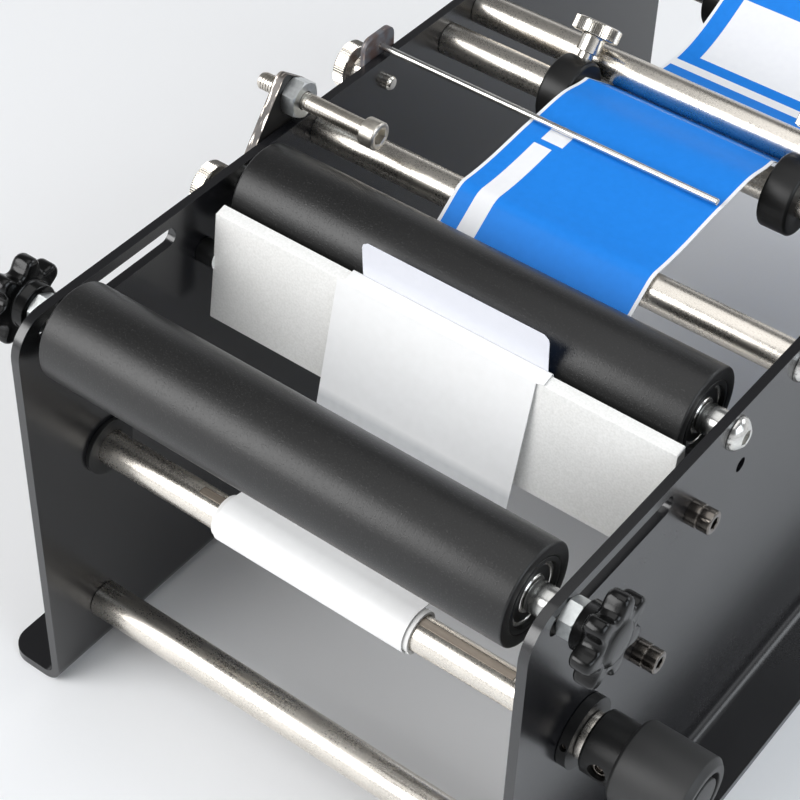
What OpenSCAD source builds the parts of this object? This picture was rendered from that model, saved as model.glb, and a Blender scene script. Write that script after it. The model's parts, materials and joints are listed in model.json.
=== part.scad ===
// Manual bottle labelling machine: two side plates joined by rods carry two rubber rollers, a peel
// plate between them, a label roll at the rear and a hand-turned take-up shaft at the front.
// X runs along the rollers (drive knob at +X), Y from the front to the label roll, Z up. Millimetres.

/* [Side plates] */
// length of a plate from the front edge to the rear edge
plate_len = 340; // [330:1:420]
// height of a plate above the bench
plate_h = 152; // [136:1:200]
// sheet thickness
plate_t = 3; // [2:0.5:4]
// clear width between the plates
inner_w = 167; // [155:1:240]
// width of the foot flange outside the plate
foot_w = 20; // [14:1:30]
// radius of the upper plate corners
corner_r = 12; // [6:1:16]
// radius of the outer foot corners
foot_r = 8; // [4:1:10]
// inner radius of the foot bend
bend_r = 4; // [1:0.5:6]

/* [Rollers] */
// outer diameter of the rubber
roller_d = 30; // [28:0.5:31]
// gap between a roller end and the plate
roller_gap = 6.5; // [5:0.5:9]
// thickness of the rubber
rubber_t = 4; // [3:0.5:4.5]
// drop of both roller axes below the upper edge of the plates
roller_drop = 6.8; // [6.4:0.2:8]
// front roller axis at rest
front_y = 16.5; // [16:0.5:24]
// rear roller axis
rear_y = 96.7; // [96:0.1:98]
// foremost place of the front axle in its slot
slot_front = 12; // [11:0.5:14]
// rearmost place of the front axle in its slot
slot_back = 62; // [56:0.5:66]
// axle diameter
axle_d = 6; // [5:0.5:6]
// ball bearing outer diameter
bearing_d = 19; // [17:0.5:19]
// ball bearing width
bearing_w = 6; // [5:0.5:7]
// depth of a bearing below the roller end
bearing_recess = 0.8; // [0.4:0.1:1.5]

/* [Rods] */
// diameter of the guide rods and the take-up shaft
rod_d = 11; // [9:0.5:11]
// diameter of the lower tie rod
tie_d = 12; // [10:0.5:14]
// tie rod axis, depth from the front edge and height above the bench
tie_pos = [22.3, 22.5];
// take-up shaft axis, depth and drop below the upper edge of the plates
take_at = [30.3, 66.5];
// backing paper bar axis, depth and drop
bar_at = [58.2, 60.6];
// middle guide rod axis, depth and drop
mid_at = [132.5, 8];
// collar shaft axis, depth and drop
coll_at = [199, 10.5];
// rear guide rod axis, depth and drop
rear_at = [217, 7.6];
// label roll shaft axis, depth and drop
supply_at = [310.5, 33.6];
// backing paper bar diameter
bar_d = 8; // [7:0.5:9]

/* [Web] */
// width of the backing paper
web_w = 68; // [40:1:76]
// centre of the web across the machine
web_x = 4.5; // [0:0.5:6]
// thickness of the web
web_t = 0.3; // [0.2:0.05:0.4]
// width of a label
label_w = 63; // [36:1:66]
// free height of the half-peeled label
label_h = 13; // [6:0.5:20]
// label roll diameter
roll_d = 56; // [40:1:90]
// diameter of the wound backing paper on the take-up shaft
paper_d = 13.6; // [12:0.2:18]
// length of the wound backing paper
paper_len = 71; // [44:1:80]

/* [Knobs] */
// star knob diameter over the lobes
star_d = 27; // [24:0.5:28]
// number of star knob lobes
star_n = 7; // [5:1:8]
// drive knob diameter
drive_d = 25; // [22:0.5:40]
// drive knob length
drive_len = 22.3; // [16:0.1:40]
// edge collar diameter
collar_d = 24; // [20:0.5:25]
// edge collar width
collar_w = 10; // [7:0.5:12]
// knurled head diameter of the thumb screws
thumb_d = 16; // [12:0.5:16]

/* [Clearances] */
// radial running clearance of every turning or sliding fit
run_gap = 0.05; // [0.02:0.01:0.09]
// side clearance between a turning piece and its neighbour
side_gap = 0.2; // [0.1:0.05:0.4]
// air between the web and every surface
web_gap = 0.3; // [0.25:0.05:0.5]
// clearance of the axle in its slot
slot_gap = 0.2; // [0.1:0.05:0.3]

/* [Hidden] */
$fn = 64;
half = inner_w / 2;
out = half + plate_t;
// a place given as depth and drop below the upper edge of the plates
function under(p) = [p[0], plate_h - p[1]];
roller_z = plate_h - roller_drop;
take_pos = under(take_at);
bar_pos = under(bar_at);
mid_pos = under(mid_at);
coll_pos = under(coll_at);
rear_pos = under(rear_at);
supply_pos = under(supply_at);
slot_w = axle_d + 2 * slot_gap;
roller_len = inner_w - 2 * roller_gap;
rl = roller_len / 2;
core_d = roller_d - 2 * rubber_t;
core_bore = bearing_d - 4;
spacer_d = axle_d + 3;
screw_d = 6;
button_d = 10.5;
button_h = 3.3;
cap_d = 7.2;
cap_len = 7.5;
cap_screw_d = 4;
nut_af = 10;
nut_h = 4.5;
star_x = out + nut_h + side_gap;
star_t = 6.5;
star_neck = 3.8;
axle_end = star_x + star_neck + 3;
bush_d = rod_d + 4;
set_collar_d = 22;
set_collar_w = 3;
ring_d = 14.4;
ring_w = 2.6;
hub_d = 19;
hub_len = 10.6;
hub_hole = 6.2;
hub_grub_d = 5.6;
set_grub_d = 2.2;
grub_gap = 0.1;
spare_d = 4.6;
set_x = out + side_gap;
ring_x = set_x + set_collar_w;
hub_x = ring_x + ring_w;
drive_x = hub_x + hub_len;
drive_end = drive_x + drive_len;
left_reach = out + foot_w;
mid_x = (drive_end - left_reach) / 2;
thumb_head = 4.8;
thumb_shank = 5;
thumb_neck = 8;
thumb_rise = 5.4;
thumb_ease = 0.6;
thumb_tip = 3;
collar_tilt = 50;
supply_tilt = -20;
stop_pivot = under([97.2, 16.6]);
stop_hole = under([123.1, -8.2]);
stop_elbow = under([108, 11.4]);
arm_t = 3;
arm_w = 16;
arm_top = 5.6;
arm_round = 2.5;
arm_x = out + 0.6;
stop_d = 6;
stop_head = 9;
stop_head_h = 5.5;
stop_tail = 9;
stop_nut_af = 11;
stop_nut_h = 5;
stop_inner = half - 30;
press_pivot = under([165.3, 8.7]);
press_pos = under([167, -2.2]);
press_d = 2.2;
press_end = web_x + web_w / 2 - 1.5;
press_t = 2;
press_x = out + 0.4;
press_slot = 10;
press_strap = 12;
press_tab = 15;
press_off = 1;
press_round = 3.5;
press_rise = 5;
web_hump = 0.8;
clip_l = 45.8;
clip_r = 65.8;
clip_w = 2.9;
clip_t = 2.1;
clip_gap = 0.15;
peel_half = half - 4.5;
peel_off = 1.7;
peel_back_top = under([79.6, 2]);
peel_front_top = under([75.8, 3]);
peel_back_mid = under([81, 20]);
peel_back_low = under([78.5, 40]);
peel_front_low = under([71.3, 40]);
peel_screw = under([76.8, 20.5]);
collar_in_l = web_x - web_w / 2 - 1.5;
collar_in_r = web_x + web_w / 2 + 1.5;
supply_in_l = web_x - web_w / 2 - 5;
supply_in_r = web_x + web_w / 2 + 4;
paper_x = web_x - 6;
hub_bob_d = 24;
core_card_d = 30;
lift = web_gap + web_t / 2;
bolted_rods = [tie_pos, mid_pos, coll_pos, rear_pos, supply_pos];

// moves a module from the machine frame, centred between the plates with its front edge at zero, so that
// the origin is the centre of the footprint
module place() translate([-mid_x, -plate_len / 2, 0]) children();

// a cylinder along X from x0 to x1 on the axis p, which gives depth and height
module rod(x0, x1, p, d, f = 64) translate([x0, p[0], p[1]]) rotate([0, 90, 0])
    cylinder(d = d, h = x1 - x0, $fn = f);

// a cone along X
module taper(x0, x1, p, da, db) translate([x0, p[0], p[1]]) rotate([0, 90, 0])
    cylinder(d1 = da, d2 = db, h = x1 - x0);

// a bar in the YZ plane from p to q with half-round ends
module link(x0, x1, p, q, w) {
    len = norm(q - p);
    rod(x0, x1, p, w);
    rod(x0, x1, q, w);
    translate([x0, p[0], p[1]]) rotate([atan2(q[1] - p[1], q[0] - p[0]), 0, 0])
        translate([0, 0, -w / 2]) cube([x1 - x0, len, w]);
}

// one plate, drawn on the right; the left one is its mirror image
module plate_body() {
    difference() {
        union() {
            translate([half, 0, plate_t + bend_r])
                cube([plate_t, plate_len, plate_h - corner_r - plate_t - bend_r]);
            translate([half, corner_r, plate_h - corner_r - 1])
                cube([plate_t, plate_len - 2 * corner_r, corner_r + 1]);
            rod(half, out, [corner_r, plate_h - corner_r], 2 * corner_r);
            rod(half, out, [plate_len - corner_r, plate_h - corner_r], 2 * corner_r);
            // foot
            translate([out + bend_r, 0, 0]) cube([foot_w - bend_r - foot_r, plate_len, plate_t]);
            translate([out + bend_r, foot_r, 0]) cube([foot_w - bend_r, plate_len - 2 * foot_r, plate_t]);
            for (y = [foot_r, plate_len - foot_r])
                translate([out + foot_w - foot_r, y, 0]) cylinder(r = foot_r, h = plate_t);
            // bend
            intersection() {
                translate([out + bend_r, 0, plate_t + bend_r]) rotate([-90, 0, 0]) difference() {
                    cylinder(r = bend_r + plate_t, h = plate_len);
                    translate([0, 0, -1]) cylinder(r = bend_r, h = plate_len + 2);
                }
                translate([half, 0, 0]) cube([plate_t + bend_r, plate_len, plate_t + bend_r]);
            }
        }
        // axle slot
        link(half - 1, out + 1, [slot_front, roller_z], [slot_back, roller_z], slot_w);
        // rod screws, rear axle, take-up bush, peel plate and bar screws, spare hole
        for (p = bolted_rods) rod(half - 1, out + 1, p, screw_d + 0.4);
        rod(half - 1, out + 1, [rear_y, roller_z], axle_d + 2 * run_gap);
        rod(half - 1, out + 1, take_pos, bush_d + 2 * run_gap);
        for (p = [peel_screw, bar_pos]) rod(half - 1, out + 1, p, cap_screw_d + 0.3);
        rod(half - 1, out + 1, [rear_y + 7, roller_z - 17.8], spare_d);
    }
}

module plate_right() color([0.05, 0.05, 0.055]) place() plate_body();

module plate_left() color([0.05, 0.05, 0.055]) place() difference() {
    mirror([1, 0, 0]) plate_body();
    // tapped holes of the two thumb screws
    for (p = [stop_pivot, press_pivot]) rod(-out - 1, -half + 1, p, thumb_shank + 2 * run_gap);
}

// a nickel-plated rod between the plates with tapped ends
module tapped_rod(p, d, tap) difference() {
    rod(-half, half, p, d);
    for (s = [-1, 1]) translate([s * (half - 6), 0, 0]) rod(-6.01, 6.01, p, tap + 2 * run_gap);
}

module tie_rod() color([0.72, 0.7, 0.66]) place() tapped_rod(tie_pos, tie_d, screw_d);
module mid_rod() color([0.72, 0.7, 0.66]) place() tapped_rod(mid_pos, rod_d, screw_d);
module collar_shaft() color([0.72, 0.7, 0.66]) place() tapped_rod(coll_pos, rod_d, screw_d);
module rear_rod() color([0.72, 0.7, 0.66]) place() tapped_rod(rear_pos, rod_d, screw_d);
module supply_shaft() color([0.72, 0.7, 0.66]) place() tapped_rod(supply_pos, rod_d, screw_d);
module liner_bar() color([0.72, 0.7, 0.66]) place() tapped_rod(bar_pos, bar_d, cap_screw_d);

// button-head screw outside the right plate, head along +X, shank reaching x0
module button_screw(p, x0) {
    rod(x0, out, p, screw_d);
    difference() {
        union() {
            rod(out, out + 0.9, p, button_d);
            taper(out + 0.9, out + 2.1, p, button_d, button_d - 1.6);
            taper(out + 2.1, out + button_h, p, button_d - 1.6, 6);
        }
        rod(out + 1.2, out + button_h + 1, p, 4.6, 6);
    }
}

module rod_screws() color([0.7, 0.7, 0.7]) place() for (m = [0, 1]) mirror([m, 0, 0])
    for (p = bolted_rods) button_screw(p, half - 9);

// cap screw with its sleeve outside the right plate
module cap_screw(p) {
    rod(half - 9, out, p, cap_screw_d);
    difference() {
        union() {
            rod(out, out + 3.4, p, cap_d + 0.2);
            rod(out + 3.4, out + 3.7, p, cap_d - 0.5);
            rod(out + 3.7, out + cap_len - 0.4, p, cap_d);
            taper(out + cap_len - 0.4, out + cap_len, p, cap_d, cap_d - 0.8);
        }
        rod(out + cap_len - 2.4, out + cap_len + 1, p, 3.8, 6);
    }
}

module cap_screws() color([0.3, 0.28, 0.26]) place() for (m = [0, 1]) mirror([m, 0, 0])
    for (p = [peel_screw, bar_pos]) cap_screw(p);

// peel plate: a bar with a thin upper edge, held by a boss at each end
module peel_plate() color([0.86, 0.86, 0.84]) place() difference() {
    union() {
        translate([peel_off - peel_half, 0, 0]) rotate([90, 0, 90]) linear_extrude(2 * peel_half)
            polygon([peel_front_top, peel_back_top, peel_back_mid, peel_back_low, peel_front_low]);
        rod(-half, peel_off - peel_half + 0.5, peel_screw, cap_d + 0.8);
        rod(peel_off + peel_half - 0.5, half, peel_screw, cap_d + 0.8);
    }
    for (s = [-1, 1]) translate([s * (half - 6), 0, 0])
        rod(-6.01, 6.01, peel_screw, cap_screw_d + 2 * run_gap);
}

// rollers
module rubber(p) difference() {
    rod(-rl, rl, p, roller_d);
    rod(-rl - 1, rl + 1, p, core_d);
}

module core(p) difference() {
    rod(-rl, rl, p, core_d);
    rod(-rl - 1, rl + 1, p, core_bore);
    for (s = [-1, 1]) translate([s * rl, 0, 0])
        rod(-bearing_w - bearing_recess, bearing_w + bearing_recess, p, bearing_d);
}

module bearing_pair(p) for (s = [-1, 1])
    translate([s * (rl - bearing_recess - bearing_w / 2), 0, 0]) difference() {
        rod(-bearing_w / 2, bearing_w / 2, p, bearing_d);
        rod(-bearing_w / 2 - 1, bearing_w / 2 + 1, p, axle_d + 2 * run_gap);
        // shield set back between the two rings
        for (t = [-1, 1]) translate([t * bearing_w / 2, 0, 0]) difference() {
            rod(-0.4, 0.4, p, bearing_d - 2.6);
            rod(-1, 1, p, spacer_d + 1.2);
        }
    }

module spacer_pair(p) for (m = [0, 1]) mirror([m, 0, 0]) difference() {
    rod(rl - bearing_recess + side_gap, half, p, spacer_d);
    rod(rl - 2, half + 1, p, axle_d + 2 * run_gap);
}

front_pos = [front_y, roller_z];
back_pos = [rear_y, roller_z];

module front_roller() color([0.035, 0.035, 0.037]) place() rubber(front_pos);
module front_core() color([0.6, 0.6, 0.6]) place() core(front_pos);
module front_bearings() color([0.65, 0.65, 0.64]) place() bearing_pair(front_pos);
module front_spacers() color([0.78, 0.78, 0.76]) place() spacer_pair(front_pos);
module front_axle() color([0.68, 0.68, 0.67]) place() rod(-axle_end, axle_end, front_pos, axle_d);
module axle_nuts() color([0.82, 0.82, 0.8]) place() for (m = [0, 1]) mirror([m, 0, 0]) difference() {
    rod(out, out + nut_h, front_pos, nut_af / cos(30), 6);
    rod(out - 1, out + nut_h + 1, front_pos, axle_d + 2 * run_gap);
}

module star_knob() difference() {
    union() {
        rod(star_x, star_x + star_neck + 0.5, front_pos, 14);
        rod(star_x + star_neck, star_x + star_neck + star_t, front_pos, star_d - 6.5);
        for (i = [0 : star_n - 1]) {
            a = 360 * i / star_n + 20;
            rod(star_x + star_neck, star_x + star_neck + star_t,
                front_pos + (star_d / 2 - 3.4) * [cos(a), sin(a)], 6.8);
        }
        taper(star_x + star_neck + star_t, star_x + star_neck + star_t + 1, front_pos, 13, 9);
    }
    // blind bore of the axle
    rod(star_x - 1, axle_end + side_gap, front_pos, axle_d + 2 * run_gap);
}

module star_right() color([0.03, 0.03, 0.032]) place() star_knob();
module star_left() color([0.03, 0.03, 0.032]) place() mirror([1, 0, 0]) star_knob();

module rear_roller() color([0.035, 0.035, 0.037]) place() rubber(back_pos);
module rear_core() color([0.6, 0.6, 0.6]) place() core(back_pos);
module rear_bearings() color([0.65, 0.65, 0.64]) place() bearing_pair(back_pos);
module rear_spacers() color([0.78, 0.78, 0.76]) place() spacer_pair(back_pos);
module rear_axle() color([0.75, 0.75, 0.74]) place() button_screw(back_pos, -out);

// take-up
module take_bushes() color([0.06, 0.06, 0.06]) place() for (m = [0, 1]) mirror([m, 0, 0]) difference() {
    union() {
        rod(half, out, take_pos, bush_d);
        rod(half - 1.6, half, take_pos, bush_d + 4);
    }
    rod(half - 3, out + 1, take_pos, rod_d + 2 * run_gap);
}

module take_shaft() color([0.74, 0.72, 0.68]) place() difference() {
    rod(-out, drive_x, take_pos, rod_d);
    // slot of the clip strip
    translate([-clip_l - clip_gap, take_pos[0] - clip_w / 2 - clip_gap,
        take_pos[1] + rod_d / 2 - clip_t - 0.1])
        cube([clip_l + clip_r + 2 * clip_gap, clip_w + 2 * clip_gap, 2 * clip_t]);
}

module take_clip() color([0.35, 0.3, 0.26]) place() intersection() {
    rod(-clip_l, clip_r, take_pos, rod_d);
    translate([-clip_l, take_pos[0] - clip_w / 2, take_pos[1] + rod_d / 2 - clip_t])
        cube([clip_l + clip_r, clip_w, 2 * clip_t]);
}

module take_paper() color([0.93, 0.93, 0.92]) place() difference() {
    rod(paper_x - paper_len / 2, paper_x + paper_len / 2, take_pos, paper_d);
    rod(-half, half, take_pos, rod_d);
}

module set_collar() color([0.03, 0.03, 0.03]) place() difference() {
    rod(set_x, ring_x, take_pos, set_collar_d);
    rod(set_x - 1, ring_x + 1, take_pos, rod_d);
    translate([(set_x + ring_x) / 2, take_pos[0], take_pos[1]]) rotate([72, 0, 0])
        cylinder(d = set_grub_d, h = set_collar_d);
}

module bright_ring() color([0.7, 0.68, 0.64]) place() difference() {
    rod(ring_x, hub_x, take_pos, ring_d);
    rod(ring_x - 1, hub_x + 1, take_pos, rod_d);
}

module drive_hub() color([0.04, 0.04, 0.042]) place() difference() {
    union() {
        taper(hub_x, hub_x + 0.8, take_pos, hub_d - 1.6, hub_d);
        rod(hub_x + 0.8, drive_x, take_pos, hub_d);
    }
    rod(hub_x - 1, drive_x + 1, take_pos, rod_d);
    translate([hub_x + hub_hole, take_pos[0], take_pos[1]]) rotate([90, 0, 0])
        cylinder(d = hub_grub_d, h = hub_d);
}

// grub screws of the collar and the hub, a hair short of the shaft and of their holes
module grub_screws() color([0.35, 0.33, 0.3]) place() {
    translate([(set_x + ring_x) / 2, take_pos[0], take_pos[1]]) rotate([72, 0, 0])
        translate([0, 0, rod_d / 2 + 0.3]) cylinder(d = set_grub_d - grub_gap, h = 4);
    translate([hub_x + hub_hole, take_pos[0], take_pos[1]]) rotate([90, 0, 0]) difference() {
        translate([0, 0, rod_d / 2 + 0.3]) cylinder(d = hub_grub_d - grub_gap, h = 2.2);
        translate([0, 0, rod_d / 2 + 1.4]) cylinder(d = hub_grub_d / 2, h = 4, $fn = 6);
    }
}

module drive_knob() color([0.03, 0.03, 0.03]) place() difference() {
    union() {
        taper(drive_x, drive_x + 1, take_pos, drive_d - 2, drive_d);
        rod(drive_x + 1, drive_end - 1.6, take_pos, drive_d);
        taper(drive_end - 1.6, drive_end, take_pos, drive_d, drive_d - 3.2);
    }
    // ring groove around the flat end disc
    difference() {
        rod(drive_end - 3, drive_end + 1, take_pos, drive_d - 7.5);
        rod(drive_end - 4, drive_end + 2, take_pos, drive_d - 11);
    }
}

// collars on a shaft: body with a tapped radial hole; inner face at x on the side s
module shaft_collar(x, s, p, tilt) translate([s > 0 ? x : x - collar_w, 0, 0]) difference() {
    union() {
        taper(0, 0.8, p, collar_d - 1.6, collar_d);
        rod(0.8, collar_w - 0.8, p, collar_d);
        taper(collar_w - 0.8, collar_w, p, collar_d, collar_d - 1.6);
    }
    rod(-1, collar_w + 1, p, rod_d + 2 * run_gap);
    translate([collar_w / 2, p[0], p[1]]) rotate([tilt - 90, 0, 0])
        cylinder(d = thumb_shank + 2 * run_gap, h = collar_d);
}

// thumb screw along +Z: shank from z0, head above z1
module thumb(z0, z1) {
    translate([0, 0, z0]) cylinder(d = thumb_shank, h = z1 - z0);
    translate([0, 0, z1]) cylinder(d = thumb_neck, h = thumb_rise);
    translate([0, 0, z1 + thumb_rise]) {
        cylinder(d1 = thumb_d - 2 * thumb_ease, d2 = thumb_d, h = thumb_ease);
        translate([0, 0, thumb_ease]) cylinder(d = thumb_d, h = thumb_head - 2 * thumb_ease);
        translate([0, 0, thumb_head - thumb_ease])
            cylinder(d1 = thumb_d, d2 = thumb_d - 2 * thumb_ease, h = thumb_ease);
    }
}

module collar_thumb(x, s, p, tilt) translate([x + s * collar_w / 2, p[0], p[1]]) rotate([tilt - 90, 0, 0])
    thumb(rod_d / 2 + 0.4, collar_d / 2 + 2);

module collar_left() color([0.03, 0.03, 0.03]) place() shaft_collar(collar_in_l, -1, coll_pos, collar_tilt);
module collar_right() color([0.03, 0.03, 0.03]) place() shaft_collar(collar_in_r, 1, coll_pos, collar_tilt);
module thumb_left() color([0.8, 0.79, 0.77]) place() collar_thumb(collar_in_l, -1, coll_pos, collar_tilt);
module thumb_right() color([0.8, 0.79, 0.77]) place() collar_thumb(collar_in_r, 1, coll_pos, collar_tilt);
module supply_collar_left() color([0.03, 0.03, 0.03]) place()
    shaft_collar(supply_in_l, -1, supply_pos, supply_tilt);
module supply_collar_right() color([0.03, 0.03, 0.03]) place()
    shaft_collar(supply_in_r, 1, supply_pos, supply_tilt);
module supply_thumb_left() color([0.8, 0.79, 0.77]) place()
    collar_thumb(supply_in_l, -1, supply_pos, supply_tilt);
module supply_thumb_right() color([0.8, 0.79, 0.77]) place()
    collar_thumb(supply_in_r, 1, supply_pos, supply_tilt);

// label roll
module tube(x0, x1, p, d, bore) difference() {
    rod(x0, x1, p, d);
    rod(x0 - 1, x1 + 1, p, bore);
}

web_x0 = web_x - web_w / 2;
web_x1 = web_x + web_w / 2;
module supply_hub() color([0.1, 0.1, 0.1]) place()
    tube(web_x0 - 3, web_x1 + 3, supply_pos, hub_bob_d, rod_d + 2 * run_gap);
module supply_core() color([0.55, 0.43, 0.3]) place()
    tube(web_x0, web_x1, supply_pos, core_card_d, hub_bob_d);
module supply_roll() color([0.9, 0.92, 0.95]) place() tube(web_x0, web_x1, supply_pos, roll_d, core_card_d);

// bottle stop: a bent flat arm with a round lower end and rounded upper corners
function unit(p, q) = (q - p) / norm(q - p);
function turned(d) = [-d[1], d[0]];
module stop_arm() color([0.13, 0.11, 0.1]) place() {
    low = turned(unit(stop_pivot, stop_elbow)) * arm_w / 2;
    high = turned(unit(stop_elbow, stop_hole)) * arm_w / 2;
    bend = (low + high) / (1 + (low * high) / (low * low));
    ahead = unit(stop_elbow, stop_hole);
    tip = stop_hole + (arm_top - arm_round) * ahead;
    inset = (arm_w / 2 - arm_round) * turned(ahead);
    top_a = atan2(ahead[1], ahead[0]);
    ends = concat(arc(tip - inset, arm_round, top_a - 90, top_a, 6),
        arc(tip + inset, arm_round, top_a, top_a + 90, 6));
    difference() {
        union() {
            translate([-arm_x - arm_t, 0, 0]) rotate([90, 0, 90]) linear_extrude(arm_t)
                polygon(concat([stop_pivot - low, stop_elbow - bend], ends,
                    [stop_elbow + bend, stop_pivot + low]));
            rod(-arm_x - arm_t, -arm_x, stop_pivot, arm_w);
        }
        rod(-arm_x - arm_t - 1, -arm_x + 1, stop_pivot, thumb_shank + 2 * run_gap);
        rod(-arm_x - arm_t - 1, -arm_x + 1, stop_hole, stop_d + 2 * run_gap);
    }
}

module stop_nut() color([0.84, 0.84, 0.83]) place() difference() {
    rod(-arm_x, -arm_x + stop_nut_h, stop_hole, stop_nut_af / cos(30), 6);
    rod(-arm_x - 1, -arm_x + stop_nut_h + 1, stop_hole, stop_d + 2 * run_gap);
}

module stop_screw() color([0.66, 0.64, 0.6]) place() {
    rod(-arm_x - arm_t - stop_tail, -stop_inner - stop_head_h, stop_hole, stop_d);
    difference() {
        union() {
            rod(-stop_inner - stop_head_h, -stop_inner - 0.5, stop_hole, stop_head);
            taper(-stop_inner - 0.5, -stop_inner, stop_hole, stop_head, stop_head - 1);
        }
        rod(-stop_inner - stop_head_h / 2 - 0.1, -stop_inner + 1, stop_hole, stop_d - 0.4, 6);
    }
}

// thumb screws of the stop and of the press rod: heads outside the left plate
module side_thumb(p, x1) translate([0, p[0], p[1]]) rotate([0, -90, 0]) thumb(half - thumb_tip, x1);
module stop_thumb() color([0.8, 0.78, 0.74]) place() side_thumb(stop_pivot, arm_x + arm_t + side_gap);

// press rod on a slotted bracket
module press_bracket() color([0.14, 0.11, 0.1]) place() difference() {
    tab = press_tab / 2;
    top = press_pos[1] - press_pivot[1];
    union() {
        link(-press_x - press_t, -press_x, press_pivot - [0, press_slot], press_pivot + [0, press_rise],
            press_strap);
        translate([-press_x - press_t, press_pivot[0] + press_off, press_pivot[1] + press_rise])
            rotate([90, 0, 90]) linear_extrude(press_t) polygon(concat([[-tab, 0], [tab, 0]],
                arc([tab - press_round, top - press_round], press_round, 0, 90, 6),
                arc([press_round - tab, top - press_round], press_round, 90, 180, 6)));
    }
    link(-press_x - press_t - 1, -press_x + 1, press_pivot - [0, press_slot], press_pivot,
        thumb_shank + 2 * run_gap);
    rod(-press_x - press_t - 1, -press_x + 1, press_pos, press_d);
}

module press_rod() color([0.8, 0.8, 0.8]) place()
    rod(-press_x - press_t - 1, press_end, press_pos, press_d);
module press_thumb() color([0.8, 0.78, 0.74]) place() side_thumb(press_pivot, press_x + press_t + side_gap);

// the web: centre line through every contact, as depth and height pairs
function dir(p, q) = atan2(q[1] - p[1], q[0] - p[0]);
function arc(c, r, a, b, n) = [for (i = [0 : n]) let (t = a + (b - a) * i / n) c + r * [cos(t), sin(t)]];
// contact angle on the first circle of a crossing tangent; s is 1 when the first circle is wound clockwise
function cross_at(c, r, d, q, s) = dir(c, d) + s * acos((r + q) / norm(d - c));
function bez(a, b, c, d, n) = [for (i = [1 : n - 1]) let (t = i / n, u = 1 - t)
    u * u * u * a + 3 * u * u * t * b + 3 * u * t * t * c + t * t * t * d];
// heading along a circle at the angle a, anticlockwise and clockwise
function ccw(a) = [-sin(a), cos(a)];
function cw(a) = [sin(a), -cos(a)];

rr = roller_d / 2 + lift;
r_roll = roll_d / 2 + lift;
r_rod = rod_d / 2 + lift;
r_loose = rod_d / 2 + 4.3;
r_mid = rod_d / 2 + 1.5;
r_bar = bar_d / 2 + lift;
r_take = paper_d / 2 + lift;
a_leave = 116.6;
a_rear_in = -115;
a_rear_out = cross_at(rear_pos, r_rod, coll_pos, r_loose, 1);
a_coll_in = a_rear_out + 180;
a_coll_out = 76;
a_mid_in = 86;
a_mid_out = cross_at(mid_pos, r_mid, back_pos, rr, -1);
a_back_in = a_mid_out - 180;
a_back_out = cross_at(back_pos, rr, peel_back_top, lift, 1) - 360;
a_peel_in = a_back_out + 180;
a_peel_top = dir(peel_back_top, peel_front_top) + 270;
a_peel_out = cross_at(peel_front_top, lift, bar_pos, r_bar, -1) + 360;
a_bar_in = a_peel_out - 180;
a_bar_out = cross_at(bar_pos, r_bar, take_pos, r_take, 1);
a_take_in = a_bar_out + 180;
p_leave = supply_pos + r_roll * [cos(a_leave), sin(a_leave)];
p_rear = rear_pos + r_rod * [cos(a_rear_in), sin(a_rear_in)];
sag = norm(p_leave - p_rear);
p_coll = coll_pos + r_loose * [cos(a_coll_out), sin(a_coll_out)];
p_dip = press_pos - [0, press_d / 2 + lift];
p_hump = [(p_coll[0] + p_dip[0]) / 2, p_dip[1] + web_hump];
p_mid = mid_pos + r_mid * [cos(a_mid_in), sin(a_mid_in)];
web_path = concat(
    [p_leave],
    bez(p_leave, p_leave + 0.38 * sag * ccw(a_leave), p_rear - 0.58 * sag * cw(a_rear_in), p_rear, 16),
    arc(rear_pos, r_rod, a_rear_in, a_rear_out, 3),
    arc(coll_pos, r_loose, a_coll_in, a_coll_out, 6),
    bez(p_coll, p_coll + 6 * ccw(a_coll_out), p_hump + [6, 0], p_hump, 6),
    [p_hump],
    bez(p_hump, p_hump - [6, 0], p_dip + [5, 0], p_dip, 8),
    [p_dip],
    bez(p_dip, p_dip - [8, 0], p_mid - 14 * ccw(a_mid_in), p_mid, 10),
    arc(mid_pos, r_mid, a_mid_in, a_mid_out, 5),
    arc(back_pos, rr, a_back_in, a_back_out, 14),
    arc(peel_back_top, lift, a_peel_in, a_peel_top, 3),
    arc(peel_front_top, lift, a_peel_top, a_peel_out, 3),
    arc(bar_pos, r_bar, a_bar_in, a_bar_out, 8),
    arc(take_pos, r_take, a_take_in, a_take_in + 70, 8));
n_web = len(web_path) - 1;
function along(i) = web_path[min(i + 1, n_web)] - web_path[max(i - 1, 0)];
function side(i, s) = let (d = along(i)) web_path[i] + s * web_t / 2 * [-d[1], d[0]] / norm(d);

module label_web() color([0.9, 0.92, 0.95]) place() translate([web_x0, 0, 0]) rotate([90, 0, 90])
    linear_extrude(web_w)
    polygon(concat([for (i = [0 : n_web]) side(i, 1)], [for (i = [n_web : -1 : 0]) side(i, -1)]));

// the half-peeled label stands on the edge of the peel plate, clear of the backing paper
label_r = 2.5;
module peeled_label() color([0.9, 0.9, 0.96]) place()
    translate([web_x + 1, peel_back_top[0] - 0.1, peel_back_top[1] + web_gap + web_t + 0.15])
        rotate([4, 0, 0])
    translate([-label_w / 2, -0.15, 0]) {
        cube([label_w, 0.2, label_h - label_r]);
        translate([label_r, 0, label_h - label_r - 0.01])
            cube([label_w - 2 * label_r, 0.2, label_r + 0.01]);
        for (x = [label_r, label_w - label_r])
            translate([x, 0.2, label_h - label_r]) rotate([90, 0, 0]) cylinder(r = label_r, h = 0.2);
    }

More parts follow.
